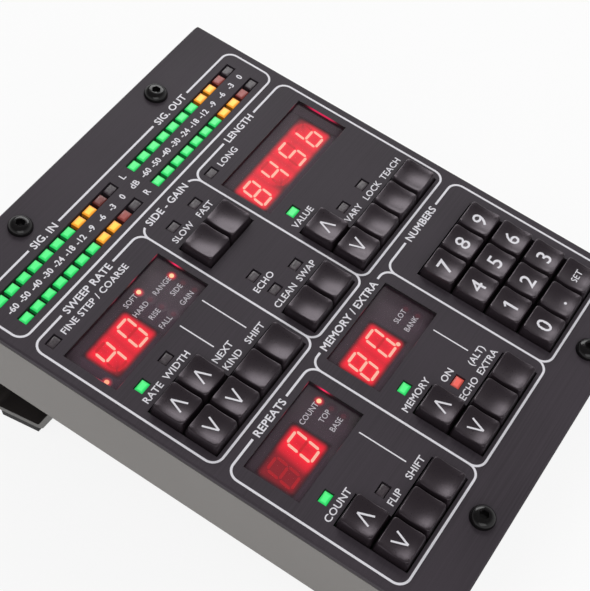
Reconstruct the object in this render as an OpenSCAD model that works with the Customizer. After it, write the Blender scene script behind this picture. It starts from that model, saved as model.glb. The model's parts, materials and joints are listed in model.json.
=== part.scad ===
// Desktop control surface of a studio delay: a tilted sheet-metal case with key clusters,
// number displays, level meters and a bent rear stand.
// The layout is drawn in the panel's own plane: x to the right, y from the front edge
// to the rear edge, z out of the panel. It is then tilted onto the table.

/* [Case] */
// Width of the case, left to right
case_w = 135; // [120:1:150]
// Length of the panel, front edge to rear edge
case_l = 171; // [154:1:190]
// Depth of the case, panel face to underside
case_h = 24.5; // [23:0.5:40]
// Tilt of the panel above the table, in degrees
case_tilt = 16.5; // [12:0.5:20]
// Thickness of the front panel
panel_t = 2; // [1.5:0.1:2.5]
// Bevel along the panel's upper edges
panel_bevel = 0.5; // [0.2:0.1:0.8]
// Sheet thickness of the case walls and floor
wall_t = 1.5; // [1:0.1:2]
// Shadow gap between the side walls and the panel
seam_gap = 0.4; // [0.2:0.1:0.8]
// Radius of the upright case corners
corner_r = 2; // [0.5:0.1:3]
// Length of the lips that carry the panel at the front and rear
lip_l = 13; // [12:0.5:14]

/* [Keys] */
// Key spacing, left to right
key_pitch_x = 11.3; // [11.2:0.1:12]
// Key spacing, front to rear
key_pitch_y = 11.4; // [11.2:0.1:12]
// Width of a key cap at the panel
key_base = 10.9; // [10.4:0.1:11.1]
// Width of a key cap at its top
key_top = 9.9; // [9:0.1:10.3]
// Height of a key cap above the panel
key_rise = 3.2; // [2:0.1:5]
// Height of the straight skirt above the panel
key_straight = 0.3; // [0.1:0.1:1]
// Length of the skirt below the panel's underside
key_skirt = 0.6; // [0.3:0.1:1.5]
// Depth of the dish in a key cap's top
key_dish = 0.6; // [0.2:0.1:1]
// Radius of the dish
key_dish_r = 40; // [30:1:80]
// Thickness of a key cap's roof below the dish
key_roof = 1.2; // [0.8:0.1:1.4]
// Thickness of a key cap's side walls
key_wall = 1.2; // [1:0.1:1.6]
// Gap between a key cap and the edge of its cut-out
key_gap = 0.4; // [0.2:0.05:0.5]
// How far a key goes down
key_travel = 0.8; // [0.3:0.1:1]
// Diameter of the stem under a key cap
stem_d = 3.4; // [2.6:0.1:4]
// Radial running clearance of the stem in its switch
stem_play = 0.08; // [0.04:0.01:0.1]
// How far the stem reaches into its switch at rest
stem_reach = 1.8; // [1:0.1:1.9]

/* [Key layout] */
// Centre of the outer sections in the upper row, from the middle of the panel
upper_section_x = 38.95; // [38:0.05:40]
// Centre of the outer sections in the lower row, from the middle of the panel
lower_section_x = 42.9; // [41:0.1:44]
// Panel beside the outer keys of the upper row
side_margin = 6.15; // [5.5:0.05:7]
// First key row of the lower sections, from the front edge
lower_row_y = 21.9; // [20:0.1:23]
// First key row of the upper sections, from the front edge
upper_row_y = 81; // [79:0.1:82]
// Single key row at the head of the middle section, from the front edge
pan_row_y = 117.3; // [115:0.1:119]

/* [Displays] */
// Width of the upper windows
window_w = 45; // [43:0.5:48]
// Width of the lower windows
small_window_w = 34; // [33:0.5:38]
// Height of every window
window_h = 18.2; // [16:0.2:20]
// Middle of the upper windows, from the front edge
upper_window_y = 117.9; // [116:0.1:119]
// Middle of the lower windows, from the front edge
lower_window_y = 58.9; // [58:0.1:60]
// Thickness of the smoked windows
window_t = 1.5; // [1:0.1:2.5]
// Glued border of a window under the panel
window_lip = 1.5; // [0.8:0.1:1.8]
// How far the middle of a window stands up into its cut-out
window_rise = 1.2; // [0.5:0.1:1.4]
// Gap between that middle and the edge of its cut-out
window_play = 0.15; // [0.1:0.05:0.3]
// Width of one digit on a number display
digit_pitch = 10.1; // [9.5:0.1:10.8]
// Height of the number displays
display_h = 13; // [11:0.5:14]
// Shift of the modulation display from the middle of its window
display_shift = -7.5; // [-8:0.1:-5]
// Shift of the lower displays from the middle of their windows
small_display_shift = -4.95; // [-5.5:0.05:-3]
// Diameter of the round lamps behind the windows
dot_d = 2; // [1.5:0.1:2.4]
// Row spacing of the round lamps
dot_pitch = 4.1; // [3.6:0.1:4.4]
// Distance of the last lamp column from the window's right edge
dot_edge = 1.6; // [1.3:0.1:2]
// Lift of the upper window's lamp columns above its middle
dot_lift = 0.6; // [0:0.1:0.8]
// Spacing of the two lamp columns
dot_column_gap = 10.7; // [9:0.1:11]

/* [Meters and lamps] */
// Lamps in one meter bar
meter_count = 11; // [11:1:11]
// Lamp spacing in a meter bar
meter_pitch = 5.14; // [4.8:0.02:5.3]
// Middle of a meter bar, from the middle of the panel
meter_x = 31.7; // [31:0.1:32.5]
// Distance of the lower meter row from the highest status lamps in the middle section
meter_gap = 13.9; // [12:0.1:15]
// Distance of the upper meter row from the rear edge
meter_rear = 19; // [18:0.1:20]
// Distance between the two meter rows
meter_row_gap = 9.1; // [8:0.1:9.4]
// Width of a meter lamp
meter_lamp_w = 3.75; // [3:0.05:4]
// Height of a meter lamp
meter_lamp_h = 3; // [2.5:0.1:3.4]
// Wall of a meter housing round its lamps
meter_wall = 0.8; // [0.6:0.1:1]
// Width of a status lamp
status_w = 3.9; // [3:0.1:4.2]
// Height of a status lamp
status_h = 2.6; // [2:0.1:3]
// Depth of the lamp faces below the panel face
lamp_sink = 0.4; // [0.2:0.1:1]
// Gap between a lamp and the edge of its slot
slot_gap = 0.25; // [0.15:0.05:0.4]
// Gap between a meter lamp and its housing
lamp_play = 0.1; // [0.05:0.05:0.2]
// Distance of a status lamp above the key that it belongs to
lamp_over_key = 11.7; // [10:0.1:12]
// Step between two stacked status lamps
lamp_step = 7.6; // [6:0.1:9]
// Distance of a status lamp above a window
lamp_over_window = 4.9; // [4:0.1:5.5]
// Distance of that lamp from the window's left edge
lamp_inset = 2.2; // [2:0.1:4]

/* [Circuit board] */
// Depth of the board's face below the panel face
board_depth = 10; // [9.8:0.1:10.8]
// Thickness of the board
board_t = 1.6; // [1:0.1:2]
// Gap between the board and the case walls
board_gap = 1.5; // [1:0.1:2]
// Width of a key switch
switch_w = 6; // [5.5:0.1:6.4]
// Height of a key switch
switch_h = 3.6; // [3.4:0.1:4.2]
// Distance of the standoffs from the board's edges
standoff_inset = 3.3; // [3.1:0.1:3.5]
// Middle pair of standoffs, from the front edge
standoff_mid_y = 108; // [106:0.5:109]
// Width across the flats of a standoff
standoff_flats = 5.5; // [5:0.1:6]
// How far a screw reaches into a standoff
standoff_reach = 4; // [3:0.1:4.4]
// Width of the controller chip
chip_w = 14; // [10:1:20]
// Height of the controller chip
chip_h = 1.6; // [1:0.1:2.5]
// Height of the chip's leads
chip_lead_h = 0.3; // [0.2:0.05:0.5]
// Reach of the chip's leads beyond its body
chip_lead_l = 1; // [0.5:0.1:1.5]

/* [USB socket] */
// Width of the socket's shell
usb_w = 7.6; // [7.2:0.1:8.4]
// Height of the socket's shell
usb_h = 2.7; // [2.4:0.1:3.2]
// Length of the socket's shell
usb_l = 5.6; // [5:0.1:8]
// Wall of the socket's shell
usb_wall = 0.35; // [0.25:0.05:0.45]
// Overhang of the socket past the board's edge
usb_overhang = 0.5; // [0.2:0.1:0.9]
// Width of the cut-out in the rear wall
usb_cut_w = 12; // [11:0.5:14]
// Height of the cut-out in the rear wall
usb_cut_h = 7.5; // [6.5:0.1:8]

/* [Stand and feet] */
// Distance of the stand's ends from the case's sides
stand_side = 12.8; // [10:0.1:24]
// Sheet thickness of the stand
stand_t = 1.8; // [1.2:0.1:2.5]
// Distance of the stand's front wall from the case's rear edge, at the case floor
stand_front = 44.7; // [40:0.1:60]
// Distance of the stand's rear wall from the case's rear edge
stand_rear = 11.5; // [11:0.1:13]
// Backward lean of the stand's front wall, in degrees
stand_lean = 19.5; // [5:0.5:22]
// Bend radius at the middle of the sheet
stand_bend = 3; // [2:0.1:4]
// Length of the stand's mounting flanges
stand_flange = 9.5; // [9:0.1:9.8]
// Distance of the stand's screws from its ends
stand_screw_inset = 14; // [8:0.5:20]
// Thickness of the rubber pad under the stand
pad_t = 2.2; // [1:0.1:4]
// Height of the front feet at their middle
foot_h = 4.3; // [4:0.1:6]
// Diameter of the front feet
foot_d = 12; // [8:0.5:13]
// Distance of the front feet from the case's sides
foot_side = 21.5; // [16:0.5:30]
// Distance of the front feet from the front edge
foot_y = 11.5; // [9:0.5:13]

/* [Screws] */
// Distance of the panel screws from the middle of the panel
panel_screw_x = 33.8; // [25:0.1:50]
// Distance of the panel screws from the front and rear edges
panel_screw_y = 7.3; // [6.5:0.1:8]
// Thread diameter of the panel screws
panel_screw_d = 4; // [3:0.1:4]
// Length of the panel screws below their heads
panel_screw_l = 7.5; // [6:0.5:8.5]
// Diameter of the panel screws' button heads
panel_head_d = 7.6; // [6:0.1:8]
// Height of the button heads
panel_head_h = 2.2; // [1.6:0.1:2.4]
// Height of the button heads' rim
panel_head_rim = 0.4; // [0.2:0.1:0.8]
// Width across the flats of the sockets in the button heads
panel_hex = 2.5; // [2:0.1:3]
// Depth of the sockets in the screw heads
hex_depth = 1.2; // [0.8:0.1:1.3]
// Diameter of the captive nuts under the lips
nut_d = 8; // [7:0.1:9]
// Height of the captive nuts under the lips
nut_h = 3; // [2:0.1:3.5]
// Diameter of the captive nuts on the case floor
small_nut_d = 6; // [5:0.1:7]
// Height of the captive nuts on the case floor
small_nut_h = 2.4; // [1.5:0.1:3]
// Thread diameter of the small screws
screw_d = 3; // [2.5:0.1:3]
// Head diameter of the small screws
screw_head_d = 5.4; // [4.5:0.1:5.6]
// Head height of the small screws
screw_head_h = 1.8; // [1.6:0.1:2]
// Width across the flats of the sockets in the small screws
screw_hex = 2; // [1.5:0.1:2.2]
// Length of a stand screw's end past its nut
screw_end = 0.6; // [0.3:0.1:2]
// Radial clearance round every screw thread
thread_play = 0.1; // [0.05:0.05:0.2]

/* [Hidden] */
$fn = 64;
// Cutters reach this far past the faces that they open
eps = 0.5;
bend_steps = 6;

// Levels below the panel face
tub_top = -panel_t;
seam_z = tub_top - seam_gap;
floor_z = -case_h + wall_t;
board_z = -board_depth;
board_under = board_z - board_t;
window_under = tub_top - window_t;
switch_top = board_z + switch_h;
lip_under = tub_top - wall_t;

// Place of the tilted case on the table
foot_z = -case_h - foot_h;
table_drop = foot_y * sin(case_tilt) + foot_z * cos(case_tilt);
function tilted_y(p) = p[0] * cos(case_tilt) - p[1] * sin(case_tilt);

// The layout spreads over the case: its sizes keep their shares of the case's width and length
sx = case_w / (2 * upper_section_x + 3 * key_pitch_x + key_base + 2 * side_margin);
sy = case_l / (pan_row_y + lamp_over_key + meter_gap + meter_row_gap + meter_rear);
pitch_x = key_pitch_x * sx;
pitch_y = key_pitch_y * sy;
cap_base = [key_base * sx, key_base * sy];
cap_top = [key_top * sx, key_top * sy];
upper_x = upper_section_x * sx;
lower_x = lower_section_x * sx;
pan_y = pan_row_y * sy;
glass_h = window_h * sy;
upper_glass_y = upper_window_y * sy;
lower_glass_y = lower_window_y * sy;
over_key = lamp_over_key * sy;
dot_y = dot_pitch * sy;
bar_pitch = meter_pitch * sx;
bar_lamp = [meter_lamp_w * sx, meter_lamp_h * sy];
status_lamp = [status_w * sx, status_h * sy];

// Key rows and columns
function upper_col(side, i) = side * upper_x + (i - 1.5) * pitch_x;
function pan_col(i) = (i - 0.5) * pitch_x;
function lower_col(side, i) = side * lower_x + (i - 1) * pitch_x;
function upper_row(j) = upper_row_y * sy + j * pitch_y;
function lower_row(j) = lower_row_y * sy + j * pitch_y;

// Each key's name and place
KEYS = [
  ["modulation_down_1_key", upper_col(-1, 0), upper_row(0)],
  ["modulation_down_2_key", upper_col(-1, 1), upper_row(0)],
  ["modulation_up_1_key", upper_col(-1, 0), upper_row(1)],
  ["modulation_up_2_key", upper_col(-1, 1), upper_row(1)],
  ["modulation_shape_key", upper_col(-1, 2), upper_row(0)],
  ["modulation_select_key", upper_col(-1, 3), upper_row(0)],
  ["pan_upper_left_key", pan_col(0), pan_y],
  ["pan_upper_right_key", pan_col(1), pan_y],
  ["pan_lower_left_key", pan_col(0), upper_row(0)],
  ["pan_lower_right_key", pan_col(1), upper_row(0)],
  ["delay_down_key", upper_col(1, 0), upper_row(0)],
  ["delay_up_key", upper_col(1, 0), upper_row(1)],
  ["delay_left_key", upper_col(1, 1), upper_row(0)],
  ["delay_middle_key", upper_col(1, 2), upper_row(0)],
  ["delay_right_key", upper_col(1, 3), upper_row(0)],
  ["feedback_down_key", lower_col(-1, 0), lower_row(0)],
  ["feedback_up_key", lower_col(-1, 0), lower_row(1)],
  ["feedback_middle_key", lower_col(-1, 1), lower_row(0)],
  ["feedback_right_key", lower_col(-1, 2), lower_row(0)],
  ["preset_down_key", lower_col(0, 0), lower_row(0)],
  ["preset_up_key", lower_col(0, 0), lower_row(1)],
  ["preset_middle_key", lower_col(0, 1), lower_row(0)],
  ["preset_right_key", lower_col(0, 2), lower_row(0)],
  ["keypad_0_key", lower_col(1, 0), lower_row(0)],
  ["keypad_point_key", lower_col(1, 1), lower_row(0)],
  ["keypad_enter_key", lower_col(1, 2), lower_row(0)],
  for (n = [1 : 9])
    [
      str("keypad_", n, "_key"),
      lower_col(1, (n - 1) % 3),
      lower_row(1 + floor((n - 1) / 3))
    ]
];

// Key cut-outs: first column, first row, columns and rows
KEY_BLOCKS = [
  [upper_col(-1, 0), upper_row(0), 4, 1],
  [upper_col(-1, 0), upper_row(0), 2, 2],
  [pan_col(0), pan_y, 2, 1],
  [pan_col(0), upper_row(0), 2, 1],
  [upper_col(1, 0), upper_row(0), 4, 1],
  [upper_col(1, 0), upper_row(0), 1, 2],
  [lower_col(-1, 0), lower_row(0), 3, 1],
  [lower_col(-1, 0), lower_row(0), 1, 2],
  [lower_col(0, 0), lower_row(0), 3, 1],
  [lower_col(0, 0), lower_row(0), 1, 2],
  [lower_col(1, 0), lower_row(0), 3, 4]
];

// Windows: middle and width
modulation_window = [-upper_x, upper_glass_y, window_w * sx];
delay_window = [upper_x, upper_glass_y, window_w * sx];
feedback_window = [-lower_x, lower_glass_y, small_window_w * sx];
preset_window = [0, lower_glass_y, small_window_w * sx];
WINDOWS = [modulation_window, delay_window, feedback_window, preset_window];
function window_right(w) = w[0] + w[2] / 2 - dot_edge;
function window_left(w) = w[0] - w[2] / 2 + lamp_inset;

// Round lamps behind the windows
DOTS = [
  [window_left(modulation_window), upper_glass_y - dot_y],
  for (j = [-1.5 : 1 : 1.5])
    [window_right(modulation_window) - dot_column_gap * sx, upper_glass_y + dot_lift * sy + j * dot_y],
  for (j = [-1.5 : 1 : 0.5])
    [window_right(modulation_window), upper_glass_y + dot_lift * sy + j * dot_y],
  for (j = [-1 : 1 : 1])
    [window_right(feedback_window), lower_glass_y + j * dot_y],
  for (j = [-1 : 1 : 0])
    [window_right(preset_window), lower_glass_y + j * dot_y]
];

// Status lamps by colour
window_lamp_y = upper_glass_y + glass_h / 2 + lamp_over_window * sy;
GREEN_STATUS = [
  [upper_col(-1, 0), upper_row(1) + over_key],
  [upper_col(1, 0), upper_row(1) + over_key],
  [lower_col(-1, 0), lower_row(1) + over_key],
  [lower_col(0, 0), lower_row(1) + over_key]
];
RED_STATUS = [[lower_col(0, 1), lower_row(0) + over_key]];
DARK_STATUS = [
  [window_left(modulation_window), window_lamp_y],
  [window_left(delay_window), window_lamp_y],
  [pan_col(0), pan_y + over_key],
  [pan_col(1), pan_y + over_key],
  [upper_col(-1, 1), upper_row(1) + over_key],
  [pan_col(0), upper_row(0) + over_key],
  [pan_col(1), upper_row(0) + over_key],
  [pan_col(0), upper_row(0) + over_key + lamp_step * sy],
  [upper_col(1, 1), upper_row(0) + over_key],
  [upper_col(1, 2), upper_row(0) + over_key],
  [lower_col(-1, 1), lower_row(0) + over_key]
];
STATUS = concat(GREEN_STATUS, RED_STATUS, DARK_STATUS);

// Meter bars and the lamps of each colour along a bar
meter_span = (meter_count - 1) * bar_pitch + bar_lamp[0];
METERS = [
  for (x = [-meter_x, meter_x])
    for (y = [meter_rear + meter_row_gap, meter_rear])
      [x * sx, case_l - y * sy]
];
green_lamps = [0 : 6];
amber_lamps = [7 : 8];
red_lamps = [9 : 9];
dark_lamps = [10 : 10];
function lamp_x(i) = (i - (meter_count - 1) / 2) * bar_pitch;

// Screw places
PANEL_SCREWS = [
  for (x = [-panel_screw_x, panel_screw_x])
    for (y = [panel_screw_y, case_l - panel_screw_y])
      [x * sx, y]
];
board_w = case_w - 2 * (wall_t + board_gap);
board_front = wall_t + board_gap;
board_rear = case_l - wall_t - board_gap;
standoff_x = board_w / 2 - standoff_inset;
STANDOFFS = [
  for (x = [-standoff_x, standoff_x])
    for (y = [board_front + 2 * standoff_inset, standoff_mid_y * sy, board_rear - 2 * standoff_inset])
      [x, y]
];
standoff_l = board_under - floor_z;

// Stand outline: points along the middle of the bent sheet, in the y-z plane of the panel
stand_top = -case_h - stand_t / 2;
stand_front_y = case_l - stand_front;
stand_rear_y = case_l - stand_rear;
stand_level = table_drop + pad_t + stand_t / 2;
front_wall_l = (stand_front_y * sin(case_tilt) + stand_top * cos(case_tilt) - stand_level)
  / cos(stand_lean + case_tilt);
stand_toe = [
  stand_front_y + front_wall_l * sin(stand_lean),
  stand_top - front_wall_l * cos(stand_lean)
];
stand_heel = [
  stand_rear_y,
  (stand_level - stand_rear_y * sin(case_tilt)) / cos(case_tilt)
];
STAND_PATH = [
  [stand_front_y - stand_flange, stand_top],
  [stand_front_y, stand_top],
  stand_toe,
  stand_heel,
  [stand_rear_y, stand_top],
  [stand_rear_y + stand_flange, stand_top]
];
STAND_OUTLINE = sheet_outline(STAND_PATH, stand_bend, stand_t);
stand_w = case_w - 2 * stand_side;
stand_screw_x = stand_w / 2 - stand_screw_inset;
stand_screw_gap = (stand_flange + stand_bend) / 2;
STAND_SCREWS = [
  for (x = [-stand_screw_x, stand_screw_x])
    for (y = [stand_front_y - stand_screw_gap, stand_rear_y + stand_screw_gap])
      [x, y]
];

// Outline of a bent sheet along a path, as both sides of the sheet with round bends
function unit(v) = v / norm(v);
function left_of(v) = [-v[1], v[0]];
function turned(v, a) = [v[0] * cos(a) - v[1] * sin(a), v[0] * sin(a) + v[1] * cos(a)];
function bend_points(a, b, c, r, side) =
  let (
    d1 = unit(b - a),
    d2 = unit(c - b),
    way = sign(d1[0] * d2[1] - d1[1] * d2[0]),
    angle = acos(d1 * d2),
    start = b - d1 * r * tan(angle / 2),
    centre = start + way * r * left_of(d1)
  )
  [
    for (k = [0 : bend_steps])
      centre + turned(-way * left_of(d1), way * angle * k / bend_steps) * (r - way * side)
  ];
function sheet_side(path, r, side) =
  let (
    last = len(path) - 1,
    first_way = left_of(unit(path[1] - path[0])),
    last_way = left_of(unit(path[last] - path[last - 1]))
  )
  [
    path[0] + first_way * side,
    for (i = [1 : last - 1])
      each bend_points(path[i - 1], path[i], path[i + 1], r, side),
    path[last] + last_way * side
  ];
function reversed(points) = [for (i = [len(points) - 1 : -1 : 0]) points[i]];
function sheet_outline(path, r, t) =
  concat(sheet_side(path, r, t / 2), reversed(sheet_side(path, r, -t / 2)));

// Shift that centres the whole object over the origin, front to rear
front_reach = tilted_y([0, -panel_bevel]);
rear_reach = max(tilted_y([case_l, -case_h]), max([for (p = STAND_OUTLINE) tilted_y(p)]));
case_shift = -(front_reach + rear_reach) / 2;

// Tilts the panel's plane onto the table
module on_table() {
  translate([0, case_shift, -table_drop])
    rotate([case_tilt, 0, 0])
      children();
}

module at(places, z = 0) {
  for (p = places)
    translate([p[0], p[1], z])
      children();
}

// A block from one level up to another, centred on x and y
module block(w, l, low, high) {
  translate([-w / 2, -l / 2, low])
    cube([w, l, high - low]);
}

// A prism with round upright corners, from the front edge to the rear edge
module case_prism(inset, low, high) {
  r = max(corner_r - inset, 0.1);
  w = case_w - 2 * inset;
  l = case_l - 2 * inset;
  translate([0, case_l / 2, low])
    linear_extrude(high - low)
      union() {
        square([w - 2 * r, l], center = true);
        square([w, l - 2 * r], center = true);
        for (x = [-1, 1], y = [-1, 1])
          translate([x * (w / 2 - r), y * (l / 2 - r)])
            circle(r);
      }
}

module hex_socket(flats, depth) {
  translate([0, 0, -depth])
    cylinder(d = flats / cos(30), h = depth + eps, $fn = 6);
}

// Small screw that points down, with its head's seat at z = 0
module small_screw(length) {
  difference() {
    union() {
      cylinder(d = screw_head_d, h = screw_head_h);
      translate([0, 0, -length])
        cylinder(d = screw_d, h = length + screw_head_h / 2);
    }
    translate([0, 0, screw_head_h])
      hex_socket(screw_hex, hex_depth);
  }
}

module thread_hole(d, low, high) {
  translate([0, 0, low])
    cylinder(d = d + 2 * thread_play, h = high - low);
}

module key_cut_outs() {
  for (b = KEY_BLOCKS) {
    w = (b[2] - 1) * pitch_x + cap_base[0] + 2 * key_gap;
    l = (b[3] - 1) * pitch_y + cap_base[1] + 2 * key_gap;
    translate([b[0] - cap_base[0] / 2 - key_gap, b[1] - cap_base[1] / 2 - key_gap, -panel_t - eps])
      cube([w, l, panel_t + 2 * eps]);
  }
}

// Long bar along an edge of the panel, turned to cut its bevel
module bevel_cutter(l) {
  rotate([0, 45, 0])
    cube([panel_bevel * sqrt(2), l, panel_bevel * sqrt(2)], center = true);
}

module front_panel() {
  long = case_w + case_l;
  color("#444246")
    on_table()
      difference() {
        case_prism(0, -panel_t, 0);
        key_cut_outs();
        for (w = WINDOWS)
          translate([w[0], w[1], 0])
            block(w[2], glass_h, -panel_t - eps, eps);
        at(METERS)
          block(meter_span + 2 * slot_gap, bar_lamp[1] + 2 * slot_gap, -panel_t - eps, eps);
        at(STATUS)
          block(status_lamp[0] + 2 * slot_gap, status_lamp[1] + 2 * slot_gap, -panel_t - eps, eps);
        at(PANEL_SCREWS)
          thread_hole(panel_screw_d, -panel_t - eps, eps);
        for (x = [-1, 1])
          translate([x * case_w / 2, case_l / 2, 0])
            bevel_cutter(long);
        for (y = [0, case_l])
          translate([0, y, 0])
            rotate([0, 0, 90])
              bevel_cutter(long);
      }
}

module case_tub() {
  color("#86827f")
    on_table()
      difference() {
        union() {
          difference() {
            case_prism(0, -case_h, tub_top);
            case_prism(wall_t, floor_z, tub_top + eps);
            translate([0, case_l / 2, 0])
              block(case_w + 2 * eps, case_l - 2 * wall_t, seam_z, tub_top + eps);
          }
          intersection() {
            case_prism(0, lip_under, tub_top);
            for (y = [0, case_l])
              translate([0, y, 0])
                block(case_w - 2 * corner_r, 2 * lip_l, lip_under, tub_top);
          }
        }
        translate([0, case_l, board_z + usb_h / 2])
          block(usb_cut_w, 2 * (wall_t + eps), -usb_cut_h / 2, usb_cut_h / 2);
        at(PANEL_SCREWS)
          thread_hole(panel_screw_d, lip_under - eps, tub_top + eps);
        at(concat(STANDOFFS, STAND_SCREWS))
          thread_hole(screw_d, -case_h - eps, floor_z + eps);
      }
}

module rear_stand() {
  color("#2b2726")
    on_table()
      difference() {
        rotate([90, 0, 90])
          linear_extrude(stand_w, center = true)
            polygon(STAND_OUTLINE);
        at(STAND_SCREWS)
          thread_hole(screw_d, -case_h - stand_t - eps, -case_h + eps);
      }
}

module stand_pad() {
  front = tilted_y(stand_toe) + case_shift + stand_bend * tan((90 - stand_lean - case_tilt) / 2);
  rear = tilted_y(stand_heel) + case_shift - stand_bend * tan((90 + case_tilt) / 2);
  color("#1d1c1c")
    translate([0, (front + rear) / 2, 0])
      block(stand_w, rear - front, 0, pad_t);
}

module front_feet() {
  foot_x = case_w / 2 - foot_side;
  color("#1d1c1c")
    intersection() {
      on_table()
        for (x = [-foot_x, foot_x])
          translate([x, foot_y, -case_h - 3 * foot_h])
            cylinder(d = foot_d, h = 3 * foot_h);
      block(case_w, 2 * case_l, 0, case_h + foot_h);
    }
}

module panel_screws() {
  dome_h = panel_head_h - panel_head_rim;
  dome_r = (pow(panel_head_d / 2, 2) + pow(dome_h, 2)) / (2 * dome_h);
  color("#1c181c")
    on_table()
      at(PANEL_SCREWS)
        difference() {
          union() {
            intersection() {
              cylinder(d = panel_head_d, h = panel_head_h);
              translate([0, 0, panel_head_h - dome_r])
                sphere(dome_r);
            }
            translate([0, 0, -panel_screw_l])
              cylinder(d = panel_screw_d, h = panel_screw_l + panel_head_rim);
          }
          translate([0, 0, panel_head_h])
            hex_socket(panel_hex, hex_depth);
        }
}

// Round nut that stands on z = 0
module captive_nut(outer_d, thread_d, h) {
  difference() {
    cylinder(d = outer_d, h = h);
    thread_hole(thread_d, -eps, h + eps);
  }
}

module captive_nuts() {
  color("#9a9a98")
    on_table() {
      at(PANEL_SCREWS, lip_under - nut_h)
        captive_nut(nut_d, panel_screw_d, nut_h);
      at(STAND_SCREWS, floor_z)
        captive_nut(small_nut_d, screw_d, small_nut_h);
    }
}

module base_screws() {
  color("#2a2a2c")
    on_table() {
      at(STAND_SCREWS, -case_h - stand_t)
        mirror([0, 0, 1])
          small_screw(stand_t + wall_t + small_nut_h + screw_end);
      at(STANDOFFS, -case_h)
        mirror([0, 0, 1])
          small_screw(wall_t + standoff_reach);
    }
}

module main_board() {
  color("#1f5a3a")
    on_table()
      difference() {
        translate([0, (board_front + board_rear) / 2, 0])
          block(board_w, board_rear - board_front, board_under, board_z);
        at(STANDOFFS)
          thread_hole(screw_d, board_under - eps, board_z + eps);
      }
}

module board_standoffs() {
  color("#c9b06a")
    on_table()
      at(STANDOFFS, floor_z)
        difference() {
          cylinder(d = standoff_flats / cos(30), h = standoff_l, $fn = 6);
          thread_hole(screw_d, -eps, standoff_l + eps);
        }
}

module board_screws() {
  color("#b8b8b4")
    on_table()
      at(STANDOFFS, board_z)
        small_screw(board_t + standoff_reach);
}

module key_switches() {
  bore_floor = switch_top - stem_reach - key_travel - stem_play;
  color("#262628")
    on_table()
      for (k = KEYS)
        translate([k[1], k[2], 0])
          difference() {
            block(switch_w, switch_w, board_z, switch_top);
            translate([0, 0, bore_floor])
              cylinder(d = stem_d + 2 * stem_play, h = switch_top - bore_floor + eps);
          }
}

// A prism whose two flanks lean in from the base width to the top width
module key_flanks(base, top, depth, skirt_z) {
  rotate([90, 0, 0])
    linear_extrude(depth, center = true)
      polygon([
        [-base / 2, skirt_z],
        [base / 2, skirt_z],
        [base / 2, key_straight],
        [top / 2, key_rise],
        [-top / 2, key_rise],
        [-base / 2, key_straight]
      ]);
}

module key_cap(x, y) {
  skirt_z = -panel_t - key_skirt;
  roof_z = key_rise - key_dish - key_roof;
  stem_end = switch_top - stem_reach;
  color("#2a2628")
    on_table()
      translate([x, y, 0]) {
        difference() {
          intersection() {
            key_flanks(cap_base[0], cap_top[0], cap_base[1], skirt_z);
            rotate([0, 0, 90])
              key_flanks(cap_base[1], cap_top[1], cap_base[0], skirt_z);
          }
          translate([0, 0, key_rise - key_dish + key_dish_r])
            sphere(key_dish_r);
          block(cap_base[0] - 2 * key_wall, cap_base[1] - 2 * key_wall, skirt_z - eps, roof_z);
        }
        translate([0, 0, stem_end])
          cylinder(d = stem_d, h = roof_z + key_roof / 2 - stem_end);
      }
}

module number_display(window, shift, digits) {
  color("#7a1420")
    on_table()
      translate([window[0] + shift * sx, window[1], 0])
        block(digits * digit_pitch * sx, display_h * sy, board_z, window_under);
}

module modulation_display() {
  number_display(modulation_window, display_shift, 2);
}

module delay_display() {
  number_display(delay_window, 0, 4);
}

module feedback_display() {
  number_display(feedback_window, small_display_shift, 2);
}

module preset_display() {
  number_display(preset_window, small_display_shift, 2);
}

module display_windows() {
  color("#4a3b45", 0.8)
    on_table()
      for (w = WINDOWS)
        translate([w[0], w[1], 0]) {
          block(w[2] + 2 * window_lip, glass_h + 2 * window_lip, window_under, tub_top);
          block(w[2] - 2 * window_play, glass_h - 2 * window_play, window_under, tub_top + window_rise);
        }
}

module meter_housings() {
  color("#161416")
    on_table()
      at(METERS)
        difference() {
          block(
            meter_span + 2 * (meter_wall + slot_gap),
            bar_lamp[1] + 2 * (meter_wall + slot_gap),
            board_z,
            tub_top
          );
          for (i = [0 : meter_count - 1])
            translate([lamp_x(i), 0, 0])
              block(
                bar_lamp[0] + 2 * lamp_play,
                bar_lamp[1] + 2 * lamp_play,
                board_z - eps,
                tub_top + eps
              );
        }
}

// The meter lamps of one colour and the status lamps of the same colour
module lamps(places_on_bar, status) {
  on_table() {
    at(METERS)
      for (i = places_on_bar)
        translate([lamp_x(i), 0, 0])
          block(bar_lamp[0], bar_lamp[1], board_z, -lamp_sink);
    at(status)
      block(status_lamp[0], status_lamp[1], board_z, -lamp_sink);
  }
}

module green_lamps() {
  color("#4dfb7d")
    lamps(green_lamps, GREEN_STATUS);
}

module amber_lamps() {
  color("#fec92e")
    lamps(amber_lamps, []);
}

module red_lamps() {
  color("#c8483c")
    lamps(red_lamps, RED_STATUS);
}

module dark_lamps() {
  color("#4a4648")
    lamps(dark_lamps, DARK_STATUS);
}

module window_lamps() {
  color("#a81c30")
    on_table()
      at(DOTS, board_z)
        cylinder(d = dot_d, h = window_under - board_z);
}

module usb_socket() {
  mouth_y = board_rear + usb_overhang;
  tongue_w = usb_w / 2;
  tongue_h = usb_h / 5;
  color("#c4c4c2")
    on_table()
      translate([0, mouth_y - usb_l / 2, board_z + usb_h / 2]) {
        difference() {
          block(usb_w, usb_l, -usb_h / 2, usb_h / 2);
          translate([0, 2 * usb_wall, 0])
            block(
              usb_w - 2 * usb_wall,
              usb_l,
              -usb_h / 2 + usb_wall,
              usb_h / 2 - usb_wall
            );
        }
        translate([0, -usb_wall / 2, 0])
          block(tongue_w, usb_l - usb_wall, 0, tongue_h);
      }
}

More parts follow.
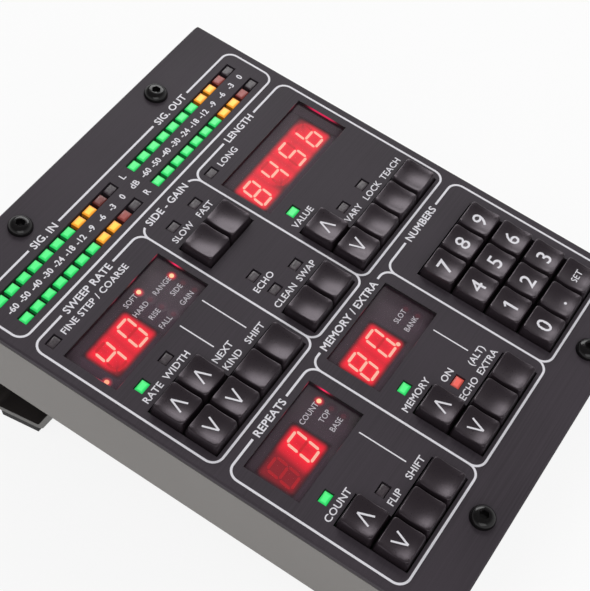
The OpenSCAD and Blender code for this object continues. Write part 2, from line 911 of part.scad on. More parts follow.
module controller_chip() {
  lead_span = chip_w + 2 * chip_lead_l;
  color("#1a1a1c")
    on_table()
      translate([0, (board_front + board_rear) / 2, 0]) {
        block(chip_w, chip_w, board_under - chip_h, board_under);
        block(lead_span, chip_w - 2 * chip_lead_l, board_under - chip_lead_h, board_under);
        block(chip_w - 2 * chip_lead_l, lead_span, board_under - chip_lead_h, board_under);
      }
}

front_panel();
case_tub();
rear_stand();
stand_pad();
front_feet();
panel_screws();
captive_nuts();
base_screws();
main_board();
board_standoffs();
board_screws();
key_switches();
modulation_display();
delay_display();
feedback_display();
preset_display();
display_windows();
meter_housings();
green_lamps();
amber_lamps();
red_lamps();
dark_lamps();
window_lamps();
usb_socket();
controller_chip();
for (k = KEYS) {
  key_cap(k[1], k[2]);
}
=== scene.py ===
"""Desktop delay unit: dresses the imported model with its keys, lamps, displays and printed panel."""

from __future__ import annotations

import json
import logging
import math
from collections.abc import Callable, Iterable
from dataclasses import dataclass, field
from enum import Enum

import bmesh
import bpy
from mathutils import Matrix, Quaternion, Vector


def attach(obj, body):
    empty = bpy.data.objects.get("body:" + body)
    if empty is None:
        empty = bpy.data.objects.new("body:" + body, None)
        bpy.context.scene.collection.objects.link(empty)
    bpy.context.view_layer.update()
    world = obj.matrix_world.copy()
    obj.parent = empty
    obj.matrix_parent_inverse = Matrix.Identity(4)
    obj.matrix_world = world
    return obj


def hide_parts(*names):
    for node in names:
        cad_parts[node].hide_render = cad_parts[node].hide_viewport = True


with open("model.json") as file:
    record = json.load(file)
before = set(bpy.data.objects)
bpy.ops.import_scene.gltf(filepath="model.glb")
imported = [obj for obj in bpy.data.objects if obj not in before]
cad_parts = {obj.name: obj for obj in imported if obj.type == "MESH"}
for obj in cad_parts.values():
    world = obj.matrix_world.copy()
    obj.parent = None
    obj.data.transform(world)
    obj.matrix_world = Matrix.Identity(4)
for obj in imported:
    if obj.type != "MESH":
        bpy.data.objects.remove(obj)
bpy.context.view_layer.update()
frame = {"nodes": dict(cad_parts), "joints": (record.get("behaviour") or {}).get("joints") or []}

LOG = logging.getLogger("delay_unit")
MM = 0.001
UNIT = "unit"
GLOW = "glow"
# Points this close, in millimetres, lie at one level.
LEVEL = 1e-3
# Room, in millimetres, that a comparison of two places leaves.
SLACK = 0.01
# A face whose normal keeps this share along the panel's normal looks straight out of it.
STRAIGHT = 0.99
# Faces that meet at less than these angles, in degrees, shade as one.
SOFT_BODY = 40.0
SOFT_LENS = 50.0
# What each number display shows.
SHOWN: dict[str, str] = {
    "modulation_display": "40",
    "delay_display": "8456",
    "feedback_display": " 0",
    "preset_display": "80.",
}

Triple = tuple[float, float, float]
Piece = bpy.types.Object
Socket = bpy.types.NodeSocket


def linear(code: str) -> tuple[float, float, float, float]:
    """Turns a written colour into the linear values that a shader takes.

    Args:
        code: Colour as six hexadecimal figures after a hash.

    Returns:
        Linear red, green and blue, and an alpha of one.
    """
    shares = [int(code[i : i + 2], 16) / 255 for i in (1, 3, 5)]
    red, green, blue = (s / 12.92 if s <= 0.04045 else ((s + 0.055) / 1.055) ** 2.4 for s in shares)
    return red, green, blue, 1.0


def even(cycles: float) -> Triple:
    """Gives a grain that repeats equally often along each axis."""
    return cycles, cycles, cycles


def faces_out(face: bmesh.types.BMFace) -> bool:
    """Says whether a face looks straight out of the panel."""
    return face.normal.z > STRAIGHT


# ---------------------------------------------------------------- the panel's plane


@dataclass(frozen=True)
class Solid:
    """Box round one CAD solid, in millimetres on the panel's plane."""

    low: Vector
    high: Vector

    @property
    def centre(self) -> Vector:
        """Middle of the box."""
        return (self.low + self.high) / 2

    @property
    def size(self) -> Vector:
        """Width, length and height of the box."""
        return self.high - self.low


class PanelPlane:
    """The tilted panel's own axes: X across, Y up the panel from its front edge, Z out of its face."""

    def __init__(self) -> None:
        """Reads the tilt from a key's press and the origin from the front panel."""
        press = frame["joints"][0]["axis"]
        self.turn = Matrix.Rotation(math.atan2(press[1], -press[2]), 4, "X")
        back = self.turn.inverted()
        level = [back @ v.co for v in frame["nodes"]["front_panel"].data.vertices]
        corner = Vector((0, min(p.y for p in level), max(p.z for p in level)))
        self.matrix = Matrix.Translation(self.turn @ corner) @ self.turn @ Matrix.Scale(MM, 4)
        self.inverse = self.matrix.inverted()

    def box(self, node: str) -> Solid:
        """Gives a node's box on the plane.

        Args:
            node: Name of the CAD node.

        Returns:
            The node's box in millimetres.
        """
        return self.wrap(self.inverse @ v.co for v in frame["nodes"][node].data.vertices)

    @staticmethod
    def wrap(points: Iterable[Vector]) -> Solid:
        """Gives the box round some points.

        Args:
            points: Points on the plane.

        Returns:
            Their box.
        """
        listed = list(points)
        return Solid(
            Vector(tuple(min(p[i] for p in listed) for i in range(3))),
            Vector(tuple(max(p[i] for p in listed) for i in range(3))),
        )

    def solids(self, node: str) -> list[Solid]:
        """Gives the box of each separate solid of a node, from front to rear and left to right.

        Args:
            node: Name of the CAD node.

        Returns:
            One box for each solid.
        """
        shape = bmesh.new()
        shape.from_mesh(frame["nodes"][node].data)
        bmesh.ops.remove_doubles(shape, verts=shape.verts, dist=LEVEL * MM)
        seen: set[bmesh.types.BMVert] = set()
        found: list[Solid] = []
        for start in shape.verts:
            if start in seen:
                continue
            island, queue = [], [start]
            seen.add(start)
            while queue:
                vert = queue.pop()
                island.append(self.inverse @ vert.co)
                for edge in vert.link_edges:
                    other = edge.other_vert(vert)
                    if other not in seen:
                        seen.add(other)
                        queue.append(other)
            found.append(self.wrap(island))
        shape.free()
        return sorted(found, key=lambda s: (round(s.centre.y, 2), round(s.centre.x, 2)))

    def settle(self, piece: Piece, offset: Triple | Vector = (0, 0, 0)) -> None:
        """Puts a piece that was made in millimetres at the origin into its place on the unit.

        Args:
            piece: Mesh object with its transform applied.
            offset: Shift on the plane in millimetres.
        """
        piece.data.transform(self.matrix @ Matrix.Translation(offset))
        piece.data.update()


# ---------------------------------------------------------------- the bench


class Bench:
    """Modelling steps that several sub-assemblies share. Sizes are in millimetres."""

    @staticmethod
    def clear() -> None:
        """Leaves edit mode and deselects everything."""
        if bpy.context.object and bpy.context.object.mode != "OBJECT":
            bpy.ops.object.mode_set(mode="OBJECT")
        bpy.ops.object.select_all(action="DESELECT")

    @staticmethod
    def added(name: str) -> Piece:
        """Names the object that was just added and applies its transform."""
        piece = bpy.context.object
        piece.name = name
        bpy.ops.object.transform_apply(location=True, rotation=True, scale=True)
        return piece

    @classmethod
    def block(cls, name: str, size: Triple | Vector, centre: Triple | Vector) -> Piece:
        """Adds a block at its size and place.

        Args:
            name: Name of the new object.
            size: Width, length and height.
            centre: Middle of the block.

        Returns:
            The block, with its transform applied.
        """
        cls.clear()
        bpy.ops.mesh.primitive_cube_add(size=1.0, location=centre)
        bpy.context.object.scale = size
        return cls.added(name)

    @classmethod
    def strip(cls, name: str, size: tuple[float, float], centre: Triple, turn: float = 0.0) -> Piece:
        """Adds a flat strip that faces out of the panel.

        Args:
            name: Name of the new object.
            size: Width and length.
            centre: Middle of the strip.
            turn: Turn about the panel's normal, in radians.

        Returns:
            The strip, with its transform applied.
        """
        cls.clear()
        bpy.ops.mesh.primitive_plane_add(size=1.0, location=centre, rotation=(0, 0, turn))
        bpy.context.object.scale = (*size, 1)
        return cls.added(name)

    @classmethod
    def cylinder(
        cls,
        name: str,
        radius: float,
        ends: tuple[float, float],
        sides: int,
        place: tuple[float, float] = (0, 0),
    ) -> Piece:
        """Adds a cylinder that stands on the panel's plane.

        Args:
            name: Name of the new object.
            radius: Its radius.
            ends: Levels of its foot and its top.
            sides: Number of its sides.
            place: Where its axis stands.

        Returns:
            The cylinder, with its transform applied.
        """
        cls.clear()
        foot, top = ends
        bpy.ops.mesh.primitive_cylinder_add(
            vertices=sides, radius=radius, depth=top - foot, location=(*place, (foot + top) / 2)
        )
        return cls.added(name)

    @staticmethod
    def edit(piece: Piece, mode: str) -> bmesh.types.BMesh:
        """Opens a piece in edit mode with nothing selected.

        Args:
            piece: Object to open.
            mode: VERT, EDGE or FACE.

        Returns:
            The mesh that is being edited.
        """
        Bench.choose(piece)
        bpy.ops.object.mode_set(mode="EDIT")
        bpy.ops.mesh.select_mode(type=mode)
        bpy.ops.mesh.select_all(action="DESELECT")
        return bmesh.from_edit_mesh(piece.data)

    @classmethod
    def pick_all(cls, piece: Piece, mode: str) -> None:
        """Opens a piece in edit mode with everything selected.

        Args:
            piece: Object to open.
            mode: VERT, EDGE or FACE.
        """
        cls.edit(piece, mode)
        bpy.ops.mesh.select_all(action="SELECT")

    @classmethod
    def pick_faces(cls, piece: Piece, test: Callable[[bmesh.types.BMFace], bool]) -> None:
        """Opens a piece in edit mode with the faces selected that pass a test.

        Args:
            piece: Object to open.
            test: Says whether a face is wanted.
        """
        shape = cls.edit(piece, "FACE")
        for face in shape.faces:
            face.select_set(test(face))
        bmesh.update_edit_mesh(piece.data)

    @classmethod
    def pick_edges(cls, piece: Piece, test: Callable[[bmesh.types.BMEdge], bool]) -> None:
        """Opens a piece in edit mode with the edges selected that pass a test.

        Args:
            piece: Object to open.
            test: Says whether an edge is wanted.
        """
        shape = cls.edit(piece, "EDGE")
        for edge in shape.edges:
            edge.select_set(test(edge))
        bmesh.update_edit_mesh(piece.data)

    @classmethod
    def round_top(cls, piece: Piece, level: float, width: float, segments: int) -> None:
        """Rounds the edges that lie at one level.

        Args:
            piece: Object to shape.
            level: Height of the edges.
            width: Width of the rounding.
            segments: Faces across the rounding.
        """
        cls.pick_edges(piece, lambda e: all(abs(v.co.z - level) < LEVEL for v in e.verts))
        bpy.ops.mesh.bevel(offset=width, segments=segments, affect="EDGES")
        cls.clear()

    @classmethod
    def score(cls, piece: Piece, place: Triple, normal: Triple) -> None:
        """Adds a ring of edges where a plane crosses a piece.

        Args:
            piece: The piece.
            place: A point of the plane.
            normal: Which way the plane faces.
        """
        cls.pick_all(piece, "EDGE")
        bpy.ops.mesh.bisect(plane_co=place, plane_no=normal)
        cls.clear()

    @staticmethod
    def push(height: float) -> None:
        """Draws the selected faces out of the panel, or into it where the height is negative."""
        bpy.ops.mesh.extrude_region_move(TRANSFORM_OT_translate={"value": (0, 0, height)})

    @staticmethod
    def push_edges(height: float) -> None:
        """Draws walls from the selected edges, out of the panel or into it."""
        bpy.ops.mesh.extrude_edges_move(TRANSFORM_OT_translate={"value": (0, 0, height)})

    @classmethod
    def thicken(cls, piece: Piece, height: float) -> None:
        """Makes a flat piece solid.

        Args:
            piece: The piece.
            height: Its thickness, negative where it reaches into what it lies on.
        """
        cls.pick_all(piece, "FACE")
        cls.push(height)
        bpy.ops.mesh.select_all(action="SELECT")
        bpy.ops.mesh.normals_make_consistent(inside=False)
        cls.clear()

    @classmethod
    def open_ring(cls, piece: Piece, width: float) -> None:
        """Leaves only a ring along the border of a flat piece.

        Args:
            piece: The piece.
            width: Width of the ring.
        """
        cls.pick_all(piece, "FACE")
        bpy.ops.mesh.inset(thickness=width)
        bpy.ops.mesh.delete(type="FACE")
        cls.clear()

    @classmethod
    def join(cls, name: str, pieces: list[Piece]) -> Piece:
        """Joins pieces into the first of them.

        Args:
            name: Name of the joined object.
            pieces: Objects to join.

        Returns:
            The joined object.
        """
        cls.clear()
        for piece in pieces:
            piece.select_set(True)
        bpy.context.view_layer.objects.active = pieces[0]
        if len(pieces) > 1:
            bpy.ops.object.join()
        pieces[0].name = name
        return pieces[0]

    @staticmethod
    def copy(piece: Piece, name: str) -> Piece:
        """Copies a piece together with its mesh.

        Args:
            piece: Object to copy.
            name: Name of the copy.

        Returns:
            The copy.
        """
        twin = piece.copy()
        twin.data = piece.data.copy()
        twin.name = name
        bpy.context.collection.objects.link(twin)
        return twin

    @classmethod
    def drop(cls, piece: Piece) -> None:
        """Removes a master or cutter that is no longer needed."""
        cls.clear()
        bpy.data.objects.remove(piece, do_unlink=True)

    @classmethod
    def choose(cls, piece: Piece) -> None:
        """Selects one piece alone and makes it the active one."""
        cls.clear()
        piece.select_set(True)
        bpy.context.view_layer.objects.active = piece

    @classmethod
    def smooth(cls, piece: Piece, degrees: float) -> None:
        """Smooths the shading where faces meet at less than an angle."""
        cls.choose(piece)
        bpy.ops.object.shade_smooth_by_angle(angle=math.radians(degrees))

    @staticmethod
    def mark_glow(piece: Piece, share: Callable[[Vector], float]) -> None:
        """Writes how brightly each point of a piece is lit.

        Args:
            piece: Object to mark.
            share: Gives the glow, from nought to one, at a point.
        """
        glow = piece.data.attributes.new(GLOW, "FLOAT", "POINT")
        for vert in piece.data.vertices:
            glow.data[vert.index].value = share(vert.co)

    @staticmethod
    def wear(piece: Piece, *materials: bpy.types.Material) -> None:
        """Gives a piece its materials in the order of its slots."""
        piece.data.materials.clear()
        for material in materials:
            piece.data.materials.append(material)


# ---------------------------------------------------------------- finishes


def showing(tree: bpy.types.NodeTree) -> Socket:
    """Tells rays that show a surface, straight, in gloss or through a pane, from rays that only light.

    Args:
        tree: Node tree that the test is added to.

    Returns:
        One for a ray that shows the surface and nought for any other.
    """
    rays = tree.nodes.new("ShaderNodeLightPath")
    seen = rays.outputs["Is Camera Ray"]
    for name in ("Is Glossy Ray", "Is Transmission Ray"):
        either = tree.nodes.new("ShaderNodeMath")
        either.operation = "MAXIMUM"
        tree.links.new(seen, either.inputs[0])
        tree.links.new(rays.outputs[name], either.inputs[1])
        seen = either.outputs[0]
    return seen


class Shader:
    """Node tree of one material, with the patterns that the finishes share."""

    trough: float = 0.3
    crest: float = 0.7
    full_relief: float = 0.05

    def __init__(self, name: str) -> None:
        """Starts a material with its surface node."""
        self.material = bpy.data.materials.new(name)
        self.material.use_nodes = True
        self.nodes = self.material.node_tree.nodes
        self.links = self.material.node_tree.links
        self.surface = self.nodes["Principled BSDF"]
        self.place = self.nodes.new("ShaderNodeTexCoord").outputs["Object"]

    def grain(self, cycles: Triple, detail: float = 3.0) -> Socket:
        """Adds a noise pattern on Object coordinates.

        Args:
            cycles: Repeats per metre along X, Y and Z.
            detail: Finer layers in the noise.

        Returns:
            The pattern's value.
        """
        mapping = self.nodes.new("ShaderNodeMapping")
        mapping.inputs["Scale"].default_value = cycles
        noise = self.nodes.new("ShaderNodeTexNoise")
        noise.inputs["Scale"].default_value = 1.0
        noise.inputs["Detail"].default_value = detail
        self.links.new(self.place, mapping.inputs["Vector"])
        self.links.new(mapping.outputs["Vector"], noise.inputs["Vector"])
        return noise.outputs["Fac"]

    def spread(self, source: Socket, low: float, high: float) -> Socket:
        """Spreads a noise pattern between two values.

        Args:
            source: Pattern to spread.
            low: Value in the pattern's troughs.
            high: Value on its crests.

        Returns:
            The spread pattern.
        """
        node = self.nodes.new("ShaderNodeMapRange")
        limits = {"From Min": self.trough, "From Max": self.crest, "To Min": low, "To Max": high}
        for name, value in limits.items():
            node.inputs[name].default_value = value
        self.links.new(source, node.inputs["Value"])
        return node.outputs["Result"]

    def blend(self, source: Socket, first: str | Socket, second: str | Socket) -> Socket:
        """Blends two colours by a pattern.

        Args:
            source: Share of the second colour.
            first: Written colour or the output of another blend.
            second: Written colour or the output of another blend.

        Returns:
            The blended colour.
        """
        node = self.nodes.new("ShaderNodeMix")
        node.data_type = "RGBA"
        self.links.new(source, node.inputs[0])
        # The colour sockets share their names with those for numbers, so they are found by their order.
        for socket, colour in ((node.inputs[6], first), (node.inputs[7], second)):
            if isinstance(colour, str):
                socket.default_value = linear(colour)
            else:
                self.links.new(colour, socket)
        return node.outputs[2]

    def relief(self, source: Socket, strength: float) -> None:
        """Raises the surface by a pattern.

        Args:
            source: Pattern that gives the height.
            strength: Share of the full relief.
        """
        node = self.nodes.new("ShaderNodeBump")
        node.inputs["Strength"].default_value = strength
        node.inputs["Distance"].default_value = self.full_relief * MM
        self.links.new(source, node.inputs["Height"])
        self.links.new(node.outputs["Normal"], self.surface.inputs["Normal"])

    def calculate(self, sum_of: str, first: Socket, second: Socket | float) -> Socket:
        """Adds a sum on two values.

        Args:
            sum_of: The operation's name.
            first: First value.
            second: Second value, a socket or a number.

        Returns:
            The result.
        """
        node = self.nodes.new("ShaderNodeMath")
        node.operation = sum_of
        self.links.new(first, node.inputs[0])
        if isinstance(second, float):
            node.inputs[1].default_value = second
        else:
            self.links.new(second, node.inputs[1])
        return node.outputs[0]

    def glow(self) -> Socket:
        """Reads how brightly each point of the piece is lit."""
        node = self.nodes.new("ShaderNodeAttribute")
        node.attribute_name = GLOW
        return node.outputs["Fac"]

    def ramp(self, source: Socket, stops: tuple[tuple[float, str], ...]) -> Socket:
        """Turns a value into a colour along several stops.

        Args:
            source: Value from nought to one.
            stops: Place and written colour of each stop.

        Returns:
            The colour.
        """
        node = self.nodes.new("ShaderNodeValToRGB")
        elements = node.color_ramp.elements
        for index, (place, colour) in enumerate(stops):
            # A new ramp comes with two stops.
            stop = elements[index] if index < 2 else elements.new(place)
            stop.position = place
            stop.color = linear(colour)
        self.links.new(source, node.inputs["Fac"])
        return node.outputs["Color"]

    def feed(self, source: Socket, name: str) -> None:
        """Links a pattern to an input of the surface."""
        self.links.new(source, self.surface.inputs[name])

    def set(self, **values: float | tuple[float, ...]) -> None:
        """Sets inputs of the surface, with underscores for spaces in their names."""
        for name, value in values.items():
            self.surface.inputs[name.replace("_", " ")].default_value = value


@dataclass(frozen=True)
class Finish:
    """A painted, moulded or bare surface with grain in its colour, gloss and relief.

    Grain is in repeats per metre, and relief is a share of the shader's full relief.
    """

    name: str
    dark: str
    light: str
    rough: tuple[float, float]
    grain: Triple
    relief: float = 0.1
    metallic: float = 0.0
    specular: float = 0.5
    cloud: float = 22.0
    cloud_detail: float = 2.0
    light_share: float = 0.75
    sheen_tint: str = "#ffffff"

    def paint(self, shader: Shader, fine: Socket) -> Socket:
        """Blends the surface's colour.

        Args:
            shader: The material's shader.
            fine: The fine grain.

        Returns:
            The colour.
        """
        slow = shader.grain(even(self.cloud), self.cloud_detail)
        mean = shader.blend(slow, self.dark, self.light)
        return shader.blend(shader.spread(fine, 0.0, self.light_share), mean, self.light)

    def build(self) -> bpy.types.Material:
        """Makes the material."""
        shader = Shader(self.name)
        fine = shader.grain(self.grain)
        shader.feed(self.paint(shader, fine), "Base Color")
        shader.feed(shader.spread(fine, *self.rough), "Roughness")
        shader.relief(fine, self.relief)
        shader.set(
            Metallic=self.metallic,
            Specular_IOR_Level=self.specular,
            Specular_Tint=linear(self.sheen_tint),
        )
        return shader.material


@dataclass(frozen=True)
class EdgeHighlightFinish(Finish):
    """A painted sheet with a painted highlight on its cut edges, at its two ends across the unit, where
    they catch the light.
    """

    # Colour of the painted highlight on the cut edges, where they catch the light.
    rim: str = "#6a6866"
    half_width: float = 0.05

    def paint(self, shader: Shader, fine: Socket) -> Socket:
        """Blends the paint with a painted highlight on the cut edges, which stands in for the light that
        they catch.

        Args:
            shader: The material's shader.
            fine: The fine grain.

        Returns:
            The colour.
        """
        axes = shader.nodes.new("ShaderNodeSeparateXYZ")
        shader.links.new(shader.place, axes.inputs["Vector"])
        away = shader.calculate("ABSOLUTE", axes.outputs["X"], 0.0)
        # Past the half width lie the cut edges, which take the painted highlight.
        edge = shader.calculate("GREATER_THAN", away, self.half_width)
        return shader.blend(edge, super().paint(shader, fine), self.rim)


@dataclass(frozen=True)
class LampFinish:
    """A moulded lamp lens that shines where its glow attribute says so."""

    name: str
    unlit: str
    stops: tuple[tuple[float, str], ...]
    strength: float = 1.0
    rough: float = 0.35
    rough_less: float = 0.05
    rough_more: float = 0.1
    grain: float = 1400.0
    shadow: str = "#000000"
    shadow_share: float = 0.6

    def build(self) -> bpy.types.Material:
        """Makes the material."""
        shader = Shader(self.name)
        fine = shader.grain(even(self.grain))
        specks = shader.spread(fine, 0.0, self.shadow_share)
        shader.feed(shader.blend(specks, self.unlit, self.shadow), "Base Color")
        gloss = shader.spread(fine, self.rough - self.rough_less, self.rough + self.rough_more)
        shader.feed(gloss, "Roughness")
        shader.feed(shader.ramp(shader.glow(), self.stops), "Emission Color")
        shader.set(Emission_Strength=self.strength)
        return shader.material


@dataclass(frozen=True)
class PaneFinish:
    """A smoked window pane that lets the lit figures through.

    A dark red film covers it where its glow attribute says so.
    """

    name: str
    dark: str
    light: str
    film: str
    cover: float
    cloud: float = 60.0
    grain: float = 300.0
    rough: tuple[float, float] = (0.34, 0.4)
    specular: float = 0.3

    def build(self) -> bpy.types.Material:
        """Makes the material."""
        shader = Shader(self.name)
        smoke = shader.blend(shader.grain(even(self.cloud)), self.dark, self.light)
        shader.feed(shader.blend(shader.glow(), smoke, self.film), "Base Color")
        shader.feed(shader.spread(shader.grain(even(self.grain)), *self.rough), "Roughness")
        shader.set(Alpha=self.cover, Specular_IOR_Level=self.specular)
        return shader.material


@dataclass(frozen=True)
class FloorFinish:
    """A pale floor that the camera and glossy surfaces see as nearly white, with the shadow kept."""

    name: str = "studio_floor"
    dark: str = "#eeeeee"
    light: str = "#f4f4f4"
    grain: float = 30.0
    rough: float = 0.8
    specular: float = 0.05
    white_share: float = 0.88

    def build(self) -> bpy.types.Material:
        """Makes the material."""
        shader = Shader(self.name)
        shader.feed(shader.blend(shader.grain(even(self.grain)), self.dark, self.light), "Base Color")
        shader.set(Roughness=self.rough, Specular_IOR_Level=self.specular)
        white = shader.nodes.new("ShaderNodeEmission")
        white.inputs["Color"].default_value = (1, 1, 1, 1)
        white.inputs["Strength"].default_value = 1.0
        seen = showing(shader.material.node_tree)
        choose = shader.nodes.new("ShaderNodeMixShader")
        shader.links.new(shader.calculate("MULTIPLY", seen, self.white_share), choose.inputs["Fac"])
        shader.links.new(shader.surface.outputs["BSDF"], choose.inputs[1])
        shader.links.new(white.outputs["Emission"], choose.inputs[2])
        shader.links.new(choose.outputs["Shader"], shader.nodes["Material Output"].inputs["Surface"])
        return shader.material


class Look(Enum):
    """The unit's finishes."""

    PANEL = Finish(
        "panel_brushed", "#262126", "#423b42", (0.5, 0.64), (35, 2600, 2600), 0.14, specular=0.22
    )
    CASE = Finish("case_satin", "#7b7774", "#888481", (0.4, 0.5), even(2200), 0.06)
    # The stand's cut edges carry a painted highlight.
    STAND = EdgeHighlightFinish(
        "stand_satin", "#282423", "#322e2d", (0.42, 0.52), even(2200), 0.06, half_width=0.0546
    )
    RUBBER = Finish("foot_rubber", "#191819", "#242223", (0.7, 0.85), even(1600), 0.3)
    BLACK_STEEL = Finish("screw_black", "#0a0809", "#121011", (0.12, 0.2), even(1800), 0.03, specular=0.3)
    STEEL = Finish("bare_steel", "#9a9b9c", "#bfc0c1", (0.25, 0.4), (300, 2400, 2400), 0.1, metallic=1.0)
    BRASS = Finish("turned_brass", "#a8863f", "#c9a85b", (0.25, 0.4), (2000, 2000, 300), 0.1, metallic=1.0)
    BOARD = Finish("board_green", "#12331f", "#1d4a2c", (0.4, 0.55), even(1200), 0.1)
    PLASTIC = Finish("black_moulding", "#161516", "#232122", (0.45, 0.6), even(1800), 0.15)
    KEY = Finish("key_moulding", "#1b1519", "#241e22", (0.27, 0.34), even(3200), 0.02, sheen_tint="#fff0fc")
    INK = Finish("panel_ink", "#dcdae0", "#eae8ee", (0.5, 0.6), even(2600), 0.03)
    WINDOW_INK = Finish("window_ink", "#b8b5bb", "#c6c3c9", (0.5, 0.6), even(2600), 0.03)
    GREEN = LampFinish("lens_green", "#0c3018", ((0.0, "#000000"), (1.0, "#4bf884"), (0.6, "#1fce60")))
    AMBER = LampFinish("lens_amber", "#4a300a", ((0.0, "#000000"), (1.0, "#f8d844"), (0.6, "#f09420")))
    RED = LampFinish("lens_red", "#2e1c1c", ((0.0, "#000000"), (1.0, "#ee5e52"), (0.5, "#9c3c34")))
    DARK = LampFinish("lens_dark", "#463b42", ((0.0, "#000000"), (1.0, "#201a1c")))
    FACE = LampFinish(
        "display_face", "#1a0a0e", ((0.0, "#0e0306"), (1.0, "#f8102c"), (0.5, "#bc0a20")), 2.0, 0.5
    )
    FIGURE = LampFinish(
        "display_figure", "#3a0a12", ((0.0, "#0e0306"), (1.0, "#ffbca6"), (0.5, "#f50c20")), 1.9, 0.5
    )
    DOT = LampFinish(
        "window_dot", "#1c0a0e", ((0.0, "#000000"), (1.0, "#ffcf98"), (0.5, "#e81c30")), 2.2, 0.4
    )
    # Painted light: the red light of the displays and lamps painted on thin sheets on the walls of the
    # window openings.
    LINER = LampFinish("opening_painted_spill", "#2a2529", ((0.0, "#000000"), (1.0, "#f0205a")), 1.1, 0.4)
    PANE = PaneFinish("smoked_pane", "#a2869a", "#b394ab", "#1c0407", 0.3)

    @property
    def material(self) -> bpy.types.Material:
        """The finish's material, made the first time that it is asked for."""
        return bpy.data.materials.get(self.value.name) or self.value.build()


# ---------------------------------------------------------------- case, stand and insides


@dataclass
class Housing:
    """CAD nodes whose shape already is the finished one."""

    looks: dict[str, Look] = field(
        default_factory=lambda: {
            "front_panel": Look.PANEL,
            "case_tub": Look.CASE,
            "rear_stand": Look.STAND,
            "stand_pad": Look.RUBBER,
            "front_feet": Look.RUBBER,
            "captive_nuts": Look.STEEL,
            "base_screws": Look.BLACK_STEEL,
            "main_board": Look.BOARD,
            "board_standoffs": Look.BRASS,
            "board_screws": Look.STEEL,
            "key_switches": Look.PLASTIC,
            "meter_housings": Look.PLASTIC,
            "usb_socket": Look.STEEL,
            "controller_chip": Look.PLASTIC,
        }
    )

    def dress(self) -> None:
        """Gives each node its finish."""
        for name, look in self.looks.items():
            node = frame["nodes"][name]
            node.material_slots[0].material = look.material
            LOG.info("%s wears %s", name, look.value.name)


# ---------------------------------------------------------------- sub-assemblies and keys


@dataclass
class Assembly:
    """A sub-assembly that is modelled in millimetres on the panel's plane."""

    plane: PanelPlane

    def assemble(self, name: str, parts: list[Piece], look: Look | None = None, soft: float = 0.0) -> Piece:
        """Joins parts into one piece and puts it into its place on the unit.

        Args:
            name: Name of the piece.
            parts: Parts in their places on the plane.
            look: Finish of the whole piece, or None where its parts have their own.
            soft: Angle in degrees under which faces shade as one, nought for flat faces.

        Returns:
            The piece.
        """
        piece = Bench.join(name, parts)
        if look is not None:
            Bench.wear(piece, look.material)
        if soft:
            Bench.smooth(piece, soft)
        self.plane.settle(piece)
        return piece


class Mark(Enum):
    """What is printed on a key's top."""

    NONE = "none"
    UP = "up"
    DOWN = "down"
    WORD = "word"


